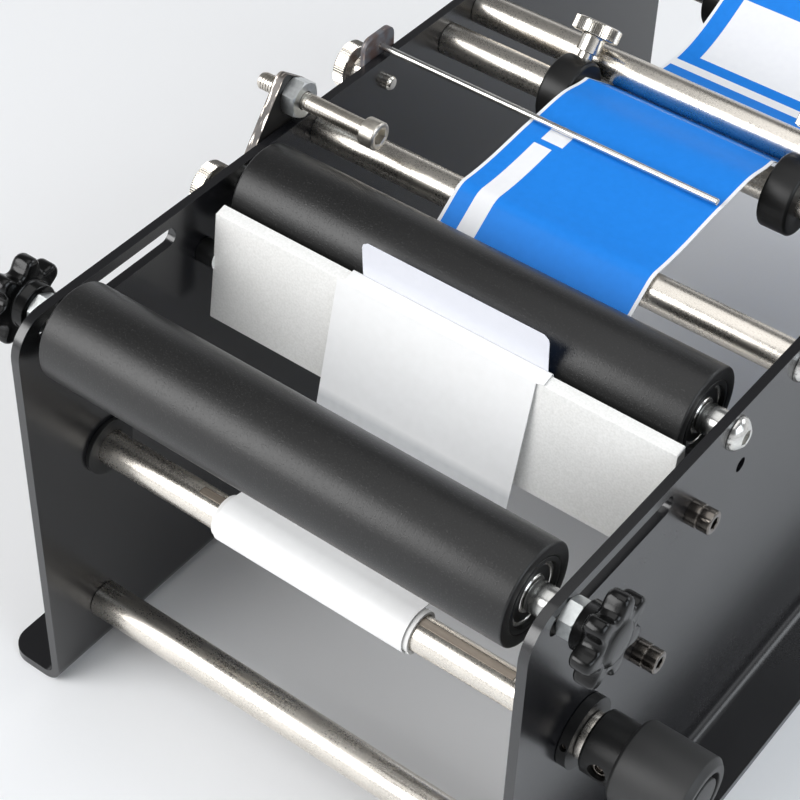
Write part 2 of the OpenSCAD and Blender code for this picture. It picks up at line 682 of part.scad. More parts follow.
plate_left();
plate_right();
tie_rod();
mid_rod();
collar_shaft();
rear_rod();
supply_shaft();
liner_bar();
rod_screws();
cap_screws();
peel_plate();
label_web();
peeled_label();
front_roller();
front_core();
front_bearings();
front_spacers();
front_axle();
axle_nuts();
star_left();
star_right();
rear_roller();
rear_core();
rear_bearings();
rear_spacers();
rear_axle();
take_bushes();
take_shaft();
take_clip();
take_paper();
set_collar();
bright_ring();
drive_hub();
grub_screws();
drive_knob();
collar_left();
collar_right();
thumb_left();
thumb_right();
supply_collar_left();
supply_collar_right();
supply_thumb_left();
supply_thumb_right();
supply_hub();
supply_core();
supply_roll();
stop_arm();
stop_nut();
stop_screw();
stop_thumb();
press_bracket();
press_rod();
press_thumb();
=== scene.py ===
# %% [markdown]
# # A manual bottle labelling machine
# A bench machine with two black side plates. A bottle lies on two rubber rollers, a knob winds the
# backing paper over a thin peel plate, and the label comes off at its edge and rolls onto the bottle.
# The exact solids are already packed as a frame. They fix every size and every joint, so this lesson
# only adds what a camera sees: rounded edges, knurls, threads, wound paper, print and finishes.

# %% Load the frame
import bpy
import bmesh
import json
import math
from mathutils import Euler, Matrix, Vector

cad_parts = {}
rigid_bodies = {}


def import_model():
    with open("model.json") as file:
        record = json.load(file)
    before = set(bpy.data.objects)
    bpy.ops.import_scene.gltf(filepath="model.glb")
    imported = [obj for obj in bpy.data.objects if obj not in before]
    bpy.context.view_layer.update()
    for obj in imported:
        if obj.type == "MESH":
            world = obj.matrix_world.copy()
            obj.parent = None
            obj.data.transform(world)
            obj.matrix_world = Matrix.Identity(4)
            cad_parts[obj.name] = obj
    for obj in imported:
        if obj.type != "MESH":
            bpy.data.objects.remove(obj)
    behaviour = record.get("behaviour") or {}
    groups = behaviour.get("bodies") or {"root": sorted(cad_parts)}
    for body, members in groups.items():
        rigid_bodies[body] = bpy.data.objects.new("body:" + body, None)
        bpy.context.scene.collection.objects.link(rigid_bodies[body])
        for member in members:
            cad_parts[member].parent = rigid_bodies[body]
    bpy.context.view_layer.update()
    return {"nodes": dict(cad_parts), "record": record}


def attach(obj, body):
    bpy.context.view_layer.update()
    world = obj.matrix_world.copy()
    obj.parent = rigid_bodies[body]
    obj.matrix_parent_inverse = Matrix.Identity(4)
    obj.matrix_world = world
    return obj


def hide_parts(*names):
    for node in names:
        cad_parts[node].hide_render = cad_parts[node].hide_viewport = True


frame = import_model()
body_of_node = {n: b for b, ns in frame["record"]["behaviour"]["bodies"].items() for n in ns}

# %% [markdown]
# ## One ruler for the whole machine
# The drawing measures from the middle between the plates and from their front edge, in millimetres.
# The frame has its origin at the centre of the footprint, in metres. Typing converted numbers
# would hide where they come from, so one helper turns drawing places into frame places.

# %% The ruler
MID_X, MID_Y = 9.35, 170.0
HALF, OUT = 83.5, 86.5
FRONT, BACK, TAKE, BAR = (16.5, 145.2), (96.7, 145.2), (30.3, 85.5), (58.2, 91.4)
TIE, MID, COLLARS = (22.3, 22.5), (132.5, 144.0), (199.0, 141.5)
REAR, SUPPLY = (217.0, 144.4), (310.5, 118.4)
STOP_PIVOT, STOP_HOLE, PRESS_PIVOT, PRESS = (97.2, 135.4), (123.1, 160.2), (165.3, 143.3), (167.0, 154.2)
PRESS_R, WEB_LEFT, WEB_RIGHT, PAPER_X, ROLL_R = 1.1, -29.5, 38.5, -1.5, 28.0


def at(x, y, z):
    return Vector(((x - MID_X) / 1000, (y - MID_Y) / 1000, z / 1000))


print("front roller axis in the frame:", tuple(at(0, *FRONT)))

# %% [markdown]
# ## Camera
# The photograph looks down on the front right corner from about forty-four degrees, with a long lens
# and a slight tilt. The camera was solved from the plate edges and the roller ends, so it is written
# as plain numbers. No shift is needed, and depth of field stays off.

# %% Camera
eye = bpy.data.objects.new("eye", bpy.data.cameras.new("eye"))
bpy.context.scene.collection.objects.link(eye)
eye.location = (0.24261, -0.45738, 0.54889)
eye.rotation_euler = Euler([math.radians(a) for a in (45.8432, -1.5827, 37.2196)])
eye.data.lens, eye.data.sensor_width = 97.214, 36.0
eye.data.clip_start, eye.data.clip_end = 0.01, 30
bpy.context.scene.camera = eye
bpy.context.scene.view_settings.view_transform = "Standard"
print("camera", round(eye.data.lens, 1), "mm")

# %% [markdown]
# ## Shader arithmetic
# A finish is a small graph of nodes, and long chains of Math nodes are hard to read as code. `Wire`
# wraps one socket, so that `1 - mask * 0.3` adds the Math nodes itself. `Finish` owns a material and
# has one method that makes any other node: its type, its settings, then the values of its sockets.


# %% Wire and Finish
class Wire:
    def __init__(self, finish, socket):
        self.finish, self.socket = finish, socket

    def math(self, operation, a, b):
        return self.finish.node("ShaderNodeMath", {"operation": operation}, {0: a, 1: b})

    def __add__(self, o):
        return self.math("ADD", self, o)

    def __radd__(self, o):
        return self.math("ADD", o, self)

    def __sub__(self, o):
        return self.math("SUBTRACT", self, o)

    def __rsub__(self, o):
        return self.math("SUBTRACT", o, self)

    def __mul__(self, o):
        return self.math("MULTIPLY", self, o)

    def __rmul__(self, o):
        return self.math("MULTIPLY", o, self)

    def __gt__(self, o):
        return self.math("GREATER_THAN", self, o)

    def __lt__(self, o):
        return self.math("LESS_THAN", self, o)


class Finish:
    def __init__(self, name):
        self.mat = bpy.data.materials.new(name)
        self.mat.use_nodes = True
        self.tree = self.mat.node_tree
        self.skin = self.tree.nodes["Principled BSDF"]

    def node(self, kind, settings=None, sockets=None, out=0):
        n = self.tree.nodes.new(kind)
        for key, value in (settings or {}).items():
            if key == "stops":
                for i, (place, colour) in enumerate(value):
                    e = n.color_ramp.elements[i] if i < 2 else n.color_ramp.elements.new(place)
                    e.position, e.color = place, (*colour, 1)
            else:
                setattr(n, key, value)
        for key, value in (sockets or {}).items():
            self.join(n.inputs[key], value)
        return Wire(self, n.outputs[out])

    def join(self, socket, value):
        if isinstance(value, Wire):
            self.tree.links.new(value.socket, socket)
        else:
            socket.default_value = (*value, 1) if socket.type == "RGBA" else value

    def surface(self, **sockets):
        for name, value in sockets.items():
            self.join(self.skin.inputs[name.replace("_", " ")], value)
        return self.mat

    def place(self, stretch=(1, 1, 1), source="Object"):
        here = self.node("ShaderNodeTexCoord", out=source)
        return self.node("ShaderNodeMapping", {}, {"Vector": here, "Scale": stretch})

    def noise(self, scale, detail=3.0, stretch=(1, 1, 1)):
        return self.node("ShaderNodeTexNoise", {},
                         {"Vector": self.place(stretch), "Scale": scale, "Detail": detail})

    def mix(self, factor, a, b):
        return self.node("ShaderNodeMix", {"data_type": "RGBA"}, {0: factor, 6: a, 7: b}, out=2)

    def ramp(self, value, low, high):
        return self.node("ShaderNodeMapRange", {}, {0: value, 1: low, 2: high})

    def bump(self, height, depth, strength=1.0):
        return self.node("ShaderNodeBump", {}, {"Height": height, "Distance": depth, "Strength": strength})


print("shader tools ready")

# %% [markdown]
# ## Powder coat and worn black
# The plates are bent steel sheet with a satin black powder coat. Close up it has a fine orange-peel
# grain, which a bump from small noise gives, and the roughness wanders a little where hands rub it.
# The stop arm and the press bracket are thinner blackened steel that is worn brown.


# %% Black finishes
def coat(name, colour, rough, grain, depth, gloss=0.5):
    f = Finish(name)
    drift = f.noise(18, 2)
    fine = f.noise(grain, 2)
    lighter = tuple(c * 1.8 + 0.002 for c in colour)
    return f.surface(Base_Color=f.mix(drift * 0.5 + fine * 0.25, colour, lighter),
                     Roughness=rough - 0.06 + drift * 0.1 + fine * 0.04, Normal=f.bump(fine, depth),
                     Specular_IOR_Level=gloss)


powder_coat = coat("powder_coat", (0.004, 0.004, 0.005), 0.24, 1900, 0.00001, 0.8)
blackened = coat("blackened_steel", (0.006, 0.006, 0.006), 0.36, 2600, 0.00002, 0.3)
knob_plastic = coat("knob_plastic", (0.002, 0.002, 0.002), 0.22, 900, 0.00002, 0.35)
drive_black = coat("drive_knob_black", (0.016, 0.016, 0.016), 0.50, 3000, 0.00003)
bush_plastic = coat("bush_plastic", (0.006, 0.006, 0.006), 0.45, 1500, 0.00002)
arm_black = coat("arm_black", (0.009, 0.008, 0.007), 0.45, 1500, 0.00002)


def worn(name, low, high, bare, cover):
    f = Finish(name)
    rub = f.ramp(f.noise(230, 6), 0.40, 0.62)
    scratch = f.ramp(f.noise(1100, 4, (1, 0.15, 0.15)), 1 - cover, 1.06 - cover)
    return f.surface(Base_Color=f.mix(scratch * 0.8, f.mix(rub, low, high), bare),
                     Roughness=0.46 - scratch * 0.16,
                     Metallic=scratch * 0.85, Normal=f.bump(rub + scratch * 0.4, 0.00004))


worn_black = worn("worn_black", (0.095, 0.062, 0.055), (0.13, 0.135, 0.15), (0.40, 0.33, 0.29), 0.40)
worn_edge = worn("worn_edge", (0.055, 0.046, 0.041), (0.15, 0.13, 0.115), (0.62, 0.56, 0.50), 0.46)
black_finishes = (powder_coat, blackened, knob_plastic, drive_black, bush_plastic, arm_black, worn_black,
                  worn_edge)
print("black finishes:", [m.name for m in black_finishes])

# %% [markdown]
# ## Rubber
# The rollers are ground after moulding, so the rubber has a soft sheen with very fine rings around it
# and a dusting of paler specks. Noise that is squeezed along the axis gives the rings.

# %% Rubber
f = Finish("roller_rubber")
rings = f.noise(700, 3, (6, 0.25, 0.25))
specks = f.ramp(f.noise(2000, 2), 0.58, 0.72)
dust = f.noise(40, 4)
roller_rubber = f.surface(Base_Color=f.mix(specks * 0.5 + dust * 0.15, (0.006, 0.006, 0.006),
                                           (0.034, 0.033, 0.032)),
                          Roughness=0.31 + dust * 0.08 + rings * 0.06,
                          Normal=f.bump(rings + specks * 0.8, 0.00003))
print("rubber:", roller_rubber.name)

# %% [markdown]
# ## Bright metals
# Nickel rods are warm and slightly grainy: the plating follows the drawn steel, so the grain runs
# along the rod. Thumb screws and sleeves are smoother chrome, nuts are pale zinc and the cap screws
# are dark nickel. One function covers all four, and only colour, grain and roughness differ.


# %% Bright finishes
def metal(name, colour, rough, grain=900, stretch=(0.12, 1, 1), depth=0.00001, cloud=0.1):
    f = Finish(name)
    streak = f.noise(grain, 4, stretch)
    patch = f.noise(90, 3)
    darker = tuple(c * 0.78 for c in colour)
    return f.surface(Metallic=1.0, Base_Color=f.mix(f.ramp(streak + patch * 0.6, 0.55, 1.1), darker,
                                                    colour),
                     Roughness=rough - cloud / 2 + patch * cloud + streak * cloud,
                     Normal=f.bump(streak, depth))


nickel = metal("nickel_rod", (0.86, 0.81, 0.735), 0.23, 2400, (0.6, 1, 1), 0.00002, 0.10)
chrome = metal("thumb_chrome", (0.86, 0.82, 0.75), 0.15, 1500, (1, 1, 1), 0.000006, 0.06)
sleeve_chrome = metal("sleeve_chrome", (0.66, 0.66, 0.64), 0.22, 2500, (1, 0.1, 0.1), 0.000008, 0.06)
zinc = metal("bright_zinc", (0.80, 0.83, 0.83), 0.26, 700, (1, 1, 1), 0.00001, 0.14)
dark_nickel = metal("dark_nickel", (0.21, 0.19, 0.17), 0.16, 1800, (1, 0.1, 0.1), 0.000008, 0.06)
satin_steel = metal("satin_steel", (0.70, 0.66, 0.59), 0.27, 1500, (1, 1, 1), 0.000012, 0.12)
bright_steel = metal("bright_steel", (0.80, 0.79, 0.76), 0.2, 1800, (0.15, 1, 1), 0.00001, 0.08)
bearing_steel = metal("bearing_steel", (0.78, 0.77, 0.74), 0.17, 1500, (1, 1, 1), 0.000008, 0.06)
clip_steel = metal("clip_steel", (0.42, 0.36, 0.30), 0.34, 900, (0.2, 1, 1), 0.00002, 0.16)
print("bright finishes ready")

# %% [markdown]
# ## Peel plate and papers
# The peel plate is satin metal, nearly white, with a sandy grain. Backing paper is smooth and slightly
# glossy. Below the plate's lower edge it is painted grey, a painted shade that stands in for the dark
# seen through the paper where nothing white lies behind it.
# The wound paper shows its layers at the ends, and cardboard is brown with a spiral seam.


# %% Pale finishes
def paper(name, colour, rough, coat_weight=0.0, fibre=500):
    f = Finish(name)
    pulp = f.noise(fibre, 5)
    cloud = f.noise(30, 2)
    darker = tuple(c * 0.93 for c in colour)
    return f.surface(Base_Color=f.mix(pulp * 0.6 + cloud * 0.4, darker, colour),
                     Roughness=rough + pulp * 0.1,
                     Coat_Weight=coat_weight, Normal=f.bump(pulp, 0.00001))


f = Finish("backing_paper")
pulp = f.noise(350, 5)
rise = f.node("ShaderNodeSeparateXYZ", {}, {0: f.node("ShaderNodeTexCoord", out="Object")}, out="Z")
# Painted shade: between these heights, below the peel plate's lower edge, the paper is painted grey for the
# dark seen through it
clear_of_painted_shade = f.ramp(rise, 0.1105, 0.1135) + f.ramp(rise, 0.096, 0.093)
painted_shade_grey = f.mix(pulp, (0.55, 0.56, 0.57), (0.66, 0.67, 0.68))
full = f.mix(pulp, (0.86, 0.86, 0.855), (0.92, 0.92, 0.92))
liner_paper = f.surface(Base_Color=f.mix(clear_of_painted_shade, painted_shade_grey, full), Roughness=0.36 + pulp * 0.1,
                        Normal=f.bump(pulp, 0.00001))
label_back = paper("label_back", (0.86, 0.875, 0.945), 0.42, 0.1)
wound_white = paper("wound_paper", (0.87, 0.865, 0.85), 0.45)
core_card = paper("core_card", (0.46, 0.34, 0.22), 0.75, 0, 260)

f = Finish("peel_satin")
sand = f.ramp(f.noise(1500, 3), 0.3, 0.7)
cloud = f.noise(25, 3)
peel_satin = f.surface(Base_Color=f.mix(sand * 0.7 + cloud * 0.3, (0.77, 0.765, 0.74),
                                        (0.93, 0.925, 0.905)),
                       Roughness=0.42 + sand * 0.12, Normal=f.bump(sand, 0.00003))

f = Finish("roll_edge")
spot = f.node("ShaderNodeTexCoord", out="Object")
middle = f.node("ShaderNodeVectorMath", {"operation": "SUBTRACT"}, {0: spot, 1: tuple(at(0, *SUPPLY))})
flat = f.node("ShaderNodeVectorMath", {"operation": "MULTIPLY"}, {0: middle, 1: (0, 1, 1)})
radius = f.node("ShaderNodeVectorMath", {"operation": "LENGTH"}, {0: flat}, out="Value")
layer = f.node("ShaderNodeTexNoise", {"noise_dimensions": "1D"},
               {"W": radius * 2600, "Scale": 1.0, "Detail": 3.0})
roll_edge = f.surface(Base_Color=f.mix(layer, (0.62, 0.66, 0.74), (0.92, 0.92, 0.92)), Roughness=0.6,
                      Normal=f.bump(layer, 0.0001))
print("pale finishes ready")

# %% [markdown]
# ## Label print
# The labels are blue with a white margin. The layout here is a plain one: a blue field, one white
# stripe, a small white block and a white window in a blue frame, with no writing. A picture file would
# be the usual way, but rectangles are easy to state as arithmetic. The web's UV map holds millimetres:
# U across the web from its left edge, V along it from the press rod towards the roll. Each label is
# 203 mm long and the next begins 4 mm later.

# %% Label print
WEB_W, LABEL_LEN, PITCH, FIRST = 68.0, 203.0, 207.0, -113.0
f = Finish("label_print")
uv = f.node("ShaderNodeUVMap", {"uv_map": "UVMap"})
u = f.node("ShaderNodeSeparateXYZ", {}, {0: uv}, out="X")
v = f.node("ShaderNodeSeparateXYZ", {}, {0: uv}, out="Y")
along = f.node("ShaderNodeMath", {"operation": "FLOORED_MODULO"}, {0: v - FIRST, 1: PITCH})


def block(u0, u1, v0, v1):
    return (u > u0) * (u < u1) * (along > v0) * (along < v1)


field = block(1.1, WEB_W - 1.1, 0, LABEL_LEN)
white = block(7.0, 13.4, 53, 105) + block(7.8, 15.6, 107.4, 112.8) + block(7.4, WEB_W - 7.4, 4.6, 33.2)
ink = field * (1 - (white > 0.5))
grain = f.noise(420, 4)
blue = f.mix(grain, (0.004, 0.195, 0.70), (0.010, 0.235, 0.80))
label_print = f.surface(Base_Color=f.mix(ink, f.mix(grain, (0.84, 0.84, 0.86), (0.90, 0.90, 0.91)), blue),
                        Roughness=0.50 - ink * 0.06 + grain * 0.06, Specular_IOR_Level=0.3)
print("label print:", LABEL_LEN, "mm labels")

# %% [markdown]
# ## From numbers to pieces
# Nearly every piece of this machine is turned on a lathe, so a profile spun about an axis is the main
# tool. A profile is a list of (place along the axis, radius). Real turned edges are never razor sharp,
# and `eased` replaces each corner of a profile by a small curve, so that edges catch light.


# %% Lathe tools
def eased(profile, r=0.4, steps=3):
    out = [profile[0]]
    for a, b, c in zip(profile, profile[1:], profile[2:]):
        la, lc = math.dist(a, b), math.dist(b, c)
        ka, kc = min(r, la * 0.45) / max(la, 1e-9), min(r, lc * 0.45) / max(lc, 1e-9)
        p = (b[0] + (a[0] - b[0]) * ka, b[1] + (a[1] - b[1]) * ka)
        q = (b[0] + (c[0] - b[0]) * kc, b[1] + (c[1] - b[1]) * kc)
        for i in range(steps + 1):
            t = i / steps
            out.append(tuple((1 - t) ** 2 * p[k] + 2 * t * (1 - t) * b[k] + t * t * q[k] for k in (0, 1)))
    return out + [profile[-1]]


def spun(profile, axis=(0, 0), segs=72, ring=None):
    """A closed profile about the X axis through axis; ring(radius, angle) may shape each ring."""
    verts, faces, rows = [], [], []
    for x, r in profile:
        row = []
        for i in range(segs if r > 1e-6 else 1):
            a = 2 * math.pi * i / segs
            s = ring(r, a) if ring and r > 1e-6 else r
            row.append(len(verts))
            verts.append((x, axis[0] + s * math.cos(a), axis[1] + s * math.sin(a)))
        rows.append(row)
    for p, q in zip(rows, rows[1:]):
        for i in range(segs):
            j = (i + 1) % segs
            quad = [p[i % len(p)], p[j % len(p)], q[j % len(q)], q[i % len(q)]]
            faces.append(tuple(dict.fromkeys(quad)))
    return verts, faces


def tube(x0, x1, r0, r1, ease=0.3):
    """Profile of a ring from x0 to x1 between radii r0 and r1, closed on itself."""
    return eased([(x0, (r0 + r1) / 2), (x0, r1), (x1, r1), (x1, r0), (x0, r0), (x0, (r0 + r1) / 2)], ease)


def bar(x0, x1, r, ease=0.4):
    return eased([(x0, 0), (x0, r), (x1, r), (x1, 0)], ease)


def piece(name, shells, finish, nodes, sharp=38, move=None, body=None):
    """One visible piece from shells in drawing millimetres; it stands for the nodes and rides with them."""
    mesh = bpy.data.meshes.new(name)
    verts, faces = [], []
    for sv, sf in shells:
        faces += [tuple(i + len(verts) for i in q) for q in sf]
        verts += [move @ Vector(p) if move else p for p in sv]
    mesh.from_pydata([at(*p) for p in verts], [], faces)
    bm = bmesh.new()
    bm.from_mesh(mesh)
    bmesh.ops.remove_doubles(bm, verts=bm.verts, dist=1e-7)
    bmesh.ops.recalc_face_normals(bm, faces=bm.faces)
    bm.to_mesh(mesh)
    bm.free()
    mesh.shade_smooth()
    mesh.set_sharp_from_angle(angle=math.radians(sharp))
    return settle(bpy.data.objects.new(name, mesh), finish, nodes, body)


def settle(obj, finish, nodes, body=None):
    if obj.name not in bpy.context.scene.collection.objects:
        bpy.context.scene.collection.objects.link(obj)
    if finish:
        obj.data.materials.clear()
        obj.data.materials.append(finish)
    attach(obj, body or body_of_node[nodes[0]])
    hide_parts(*nodes)
    return obj


print("lathe tools ready")

# %% [markdown]
# ## Edges of bent and cut sheet
# The plates, the stop arm and the press bracket are flat shapes with many holes. Their solids are
# right, but a sawn edge is a little round. A copy of the solid's mesh is merged, its flat facets are
# dissolved, and a narrow Bevel modifier rounds what is left sharp. Large faces with holes would then shade
# in streaks, so a Weighted Normal modifier lets the largest face at a corner decide. The stop arm keeps its
# black on the two broad sides only, and its sawn edges are worn to brown steel.


# %% Softened sheet
def softened(node, finish, width, edge=None, segments=2, sharp=32):
    mesh = frame["nodes"][node].data.copy()
    bm = bmesh.new()
    bm.from_mesh(mesh)
    bmesh.ops.remove_doubles(bm, verts=bm.verts, dist=1e-6)
    bmesh.ops.dissolve_limit(bm, angle_limit=math.radians(1), verts=bm.verts, edges=bm.edges)
    bm.to_mesh(mesh)
    bm.free()
    mesh.shade_smooth()
    mesh.set_sharp_from_angle(angle=math.radians(40))
    rough = bpy.data.objects.new(node + "_rough", mesh)
    bpy.context.scene.collection.objects.link(rough)
    m = rough.modifiers.new("ease", "BEVEL")
    m.width, m.segments = width / 1000, segments
    m.limit_method, m.angle_limit = "ANGLE", math.radians(sharp)
    even = rough.modifiers.new("even", "WEIGHTED_NORMAL")
    even.weight = 100
    done = bpy.data.meshes.new_from_object(rough.evaluated_get(bpy.context.evaluated_depsgraph_get()))
    bpy.data.objects.remove(rough)
    made = settle(bpy.data.objects.new(node + "_sheet", done), finish, [node])
    if edge:
        done.materials.append(edge)
        for face in done.polygons:
            face.material_index = 0 if abs(face.normal.x) > 0.9 else 1
    return made


for node, finish, width, edge in (("plate_left", powder_coat, 0.35, None),
                                  ("plate_right", powder_coat, 0.35, None),
                                  ("stop_arm", arm_black, 0.2, worn_edge),
                                  ("press_bracket", worn_black, 0.2, None),
                                  ("take_shaft", nickel, 0.12, None), ("take_clip", clip_steel, 0.1, None),
                                  ("set_collar", blackened, 0.25, None),
                                  ("drive_hub", blackened, 0.3, None)):
    made = softened(node, finish, width, edge)
    print(made.name, len(made.data.polygons), "faces")

# %% [markdown]
# ## Rods
# Five rods tie the plates together and guide the web. They are drawn steel with chamfered ends, so a
# plain lathe profile is enough; their life comes from the nickel finish.

# %% Rods
for node, axis, r in (("tie_rod", TIE, 6), ("mid_rod", MID, 5.5), ("collar_shaft", COLLARS, 5.5),
                      ("rear_rod", REAR, 5.5),
                      ("supply_shaft", SUPPLY, 5.5), ("liner_bar", BAR, 4)):
    piece(node + "_bar", [spun(bar(-HALF, HALF, r), axis, 96)], nickel, [node])
piece("press_wire", [spun(bar(-OUT - 3.4, 37, PRESS_R, 0.3), PRESS, 48)], bright_steel, ["press_rod"])
print("rods between the plates:", 6)

# %% [markdown]
# ## Rollers
# Each roller is a rubber sleeve on a tube with a ball bearing pressed into each end. The end is what
# shows: rubber, a dark tube rim, the bearing's outer ring, its shield set back, the inner ring, and a
# bright sleeve that keeps the roller off the plate.


# %% Rollers
def ring_pair(profile):
    return [profile, [(-x, r) for x, r in profile]]


def shield(race, axis, inner, outer):
    """Darkens the faces between two radii, where a bearing has its seal."""
    race.data.materials.append(bush_plastic)
    centre = at(0, *axis)
    for face in race.data.polygons:
        r = math.hypot(face.center.y - centre.y, face.center.z - centre.z) * 1000
        face.material_index = 1 if inner < r < outer else 0


for side, axis in (("front", FRONT), ("rear", BACK)):
    piece(side + "_rubber", [spun(tube(-77, 77, 11, 15, 0.7), axis, 128)], roller_rubber,
          [side + "_roller"])
    rim = eased([(-77, 9.75), (-77, 10.98), (77, 10.98), (77, 9.5), (70.2, 9.5), (70.2, 7.5), (-70.2, 7.5),
                 (-70.2, 9.5),
                 (-77, 9.5), (-77, 9.75)], 0.25)
    piece(side + "_tube", [spun(rim, axis, 96)], blackened, [side + "_core"])
    face = [(70.2, 6.3), (70.2, 9.45), (76.2, 9.45), (76.2, 8.2), (75.75, 8.1), (75.75, 5.4), (76.2, 5.2),
            (76.2, 3.06),
            (70.2, 3.06), (70.2, 6.3)]
    made = piece(side + "_race", [spun(p, axis, 96) for p in ring_pair(eased(face, 0.2))], bearing_steel,
                 [side + "_bearings"])
    shield(made, axis, 5.5, 8.0)
    sleeve = eased([(76.42, 3.8), (76.42, 4.5), (HALF, 4.5), (HALF, 3.06), (76.42, 3.06), (76.42, 3.8)],
                   0.25)
    piece(side + "_sleeve", [spun(p, axis, 64) for p in ring_pair(sleeve)], sleeve_chrome,
          [side + "_spacers"])
print("rollers with bearings and sleeves")

# %% [markdown]
# ## Geometry Nodes helper
# Screw heads, knurl ribs, thread turns and paper windings all repeat. Each gets a node tree with named
# inputs for its sizes. `node` adds one node and joins its sockets, and `grown` runs a tree once and
# keeps the result as a plain mesh, because instances and live modifiers don't survive the export.


# %% Tree tools
class Tree:
    def __init__(self, name, **inputs):
        self.tree = bpy.data.node_groups.new(name, "GeometryNodeTree")
        face = self.tree.interface
        face.new_socket("Geometry", in_out="INPUT", socket_type="NodeSocketGeometry")
        self.ids = {k: face.new_socket(k, in_out="INPUT", socket_type="NodeSocket" + kind).identifier
                    for k, kind in inputs.items()}
        face.new_socket("Geometry", in_out="OUTPUT", socket_type="NodeSocketGeometry")
        self.start = self.tree.nodes.new("NodeGroupInput")
        self.end = self.tree.nodes.new("NodeGroupOutput")

    def __getitem__(self, name):
        return self.start.outputs[name]

    def node(self, kind, settings=None, sockets=None):
        n = self.tree.nodes.new(kind)
        for key, value in (settings or {}).items():
            setattr(n, key, value)
        for key, value in (sockets or {}).items():
            if isinstance(value, bpy.types.NodeSocket):
                self.tree.links.new(value, n.inputs[key])
            else:
                n.inputs[key].default_value = value
        return n.outputs

    def finish(self, geometry, finish):
        whole = self.node("GeometryNodeRealizeInstances", {}, {0: geometry})[0]
        skin = self.node("GeometryNodeSetMaterial", {}, {0: whole, "Material": finish})[0]
        self.tree.links.new(skin, self.end.inputs[0])


def grown(tree, values, points=()):
    seed = bpy.data.objects.new("seed", bpy.data.meshes.new("seed"))
    seed.data.from_pydata([Vector(p) for p, _ in points] or [Vector()], [], [])
    turn = seed.data.attributes.new("turn", "FLOAT", "POINT")
    for i, (_, t) in enumerate(points):
        turn.data[i].value = t
    bpy.context.scene.collection.objects.link(seed)
    m = seed.modifiers.new("grow", "NODES")
    m.node_group = tree.tree
    for name, value in values.items():
        m[tree.ids[name]] = value
    mesh = bpy.data.meshes.new_from_object(seed.evaluated_get(bpy.context.evaluated_depsgraph_get()))
    bpy.data.objects.remove(seed)
    mesh.shade_smooth()
    mesh.set_sharp_from_angle(angle=math.radians(38))
    return mesh


print("tree tools ready")

# %% [markdown]
# ## Screw heads on the plates
# Ten button heads hold the rods and four cap screws hold the peel plate and the paper bar. One head is
# turned with a hexagon socket, and a tree sets it on points. Each point carries its turn, so the same
# head looks outward on both plates.


# %% Screw heads
def hexed(r_flat):
    """A ring shaper that turns a circle into a hexagon of the given flat radius."""
    def shape(r, a):
        if r > r_flat * 1.16:
            return r
        return min(r, r_flat / math.cos((a + math.pi / 6) % (math.pi / 3) - math.pi / 6))

    return shape


def socket_head(outer, socket_r, depth):
    """Profile of a head whose socket is a hexagon: outer goes from the plate to the rim."""
    top = outer[-1][0]
    return outer + [(top, socket_r * 1.2), (top - 0.25, socket_r * 1.09), (top - depth, socket_r * 1.09),
                    (top - depth - 0.6, 0)]


def head_object(name, profile, socket_r, shank):
    mesh = bpy.data.meshes.new(name)
    verts, faces = spun(profile, (0, 0), 72, hexed(socket_r * 0.95))
    more, quads = spun(shank, (0, 0), 32)
    mesh.from_pydata([Vector(p) / 1000 for p in verts + more], [],
                     faces + [tuple(i + len(verts) for i in q) for q in quads])
    bm = bmesh.new()
    bm.from_mesh(mesh)
    bmesh.ops.remove_doubles(bm, verts=bm.verts, dist=1e-7)
    bmesh.ops.recalc_face_normals(bm, faces=bm.faces)
    bm.to_mesh(mesh)
    bm.free()
    return bpy.data.objects.new(name, mesh)


heads_tree = Tree("heads_on_points", Head="Object", Finish="Material")
info = heads_tree.node("GeometryNodeObjectInfo", {}, {"Object": heads_tree["Head"]})
turn = heads_tree.node("GeometryNodeInputNamedAttribute", {"data_type": "FLOAT"}, {"Name": "turn"})
spin = heads_tree.node("ShaderNodeCombineXYZ", {}, {"X": 0.0, "Y": 0.0, "Z": turn[0]})
set_heads = heads_tree.node("GeometryNodeInstanceOnPoints", {}, {"Points": heads_tree["Geometry"],
                            "Instance": info["Geometry"], "Rotation": spin[0]})
heads_tree.finish(set_heads[0], heads_tree["Finish"])

dome = [(0, 0), (0, 5.1), (0.15, 5.25), (0.8, 5.2), (1.5, 4.85), (2.2, 4.25), (2.8, 3.55), (3.2, 2.95),
        (3.3, 2.7)]
button = head_object("button_head", socket_head(dome, 2.2, 1.9), 2.2, bar(-11.9, 0.1, 2.98))
tall = eased([(0, 0), (0, 3.7), (3.4, 3.7), (3.45, 3.35), (3.7, 3.35), (3.75, 3.6), (7.2, 3.6), (7.5, 3.2),
              (7.5, 2.4)], 0.15)
cap = head_object("cap_head", socket_head(tall, 1.75, 2.2), 1.75, bar(-11.9, 0.1, 1.98))
for name, head, finish, spots, node in (
        ("rod_screw_heads", button, bright_steel, (TIE, MID, COLLARS, REAR, SUPPLY), "rod_screws"),
        ("cap_screw_heads", cap, dark_nickel, ((76.8, 131.5), BAR), "cap_screws")):
    points = [(at(s * OUT, *p), 0 if s > 0 else math.pi) for p in spots for s in (1, -1)]
    mesh = grown(heads_tree, {"Head": head, "Finish": finish}, points)
    settle(bpy.data.objects.new(name, mesh), finish, [node])
    print(name, len(points), "heads,", len(mesh.polygons), "faces")
for head in (button, cap):
    bpy.data.objects.remove(head)
long_bolt = [(x + OUT, r) for x, r in socket_head(dome, 2.2, 1.9)]
piece("rear_bolt", [spun(long_bolt, BACK, 72, hexed(2.2 * 0.95)),
                    spun(bar(-OUT, OUT + 0.1, 2.98), BACK, 48)], bright_steel, ["rear_axle"])

# %% [markdown]
# ## Nuts and the front axle
# A hexagon nut is a hexagon prism cut by a cone at each end, which leaves the curved edges that make it
# look like a nut. Spinning a ring whose radius follows the hexagon, and pulling its end back where the
# cone would cut it, gives that without any boolean.


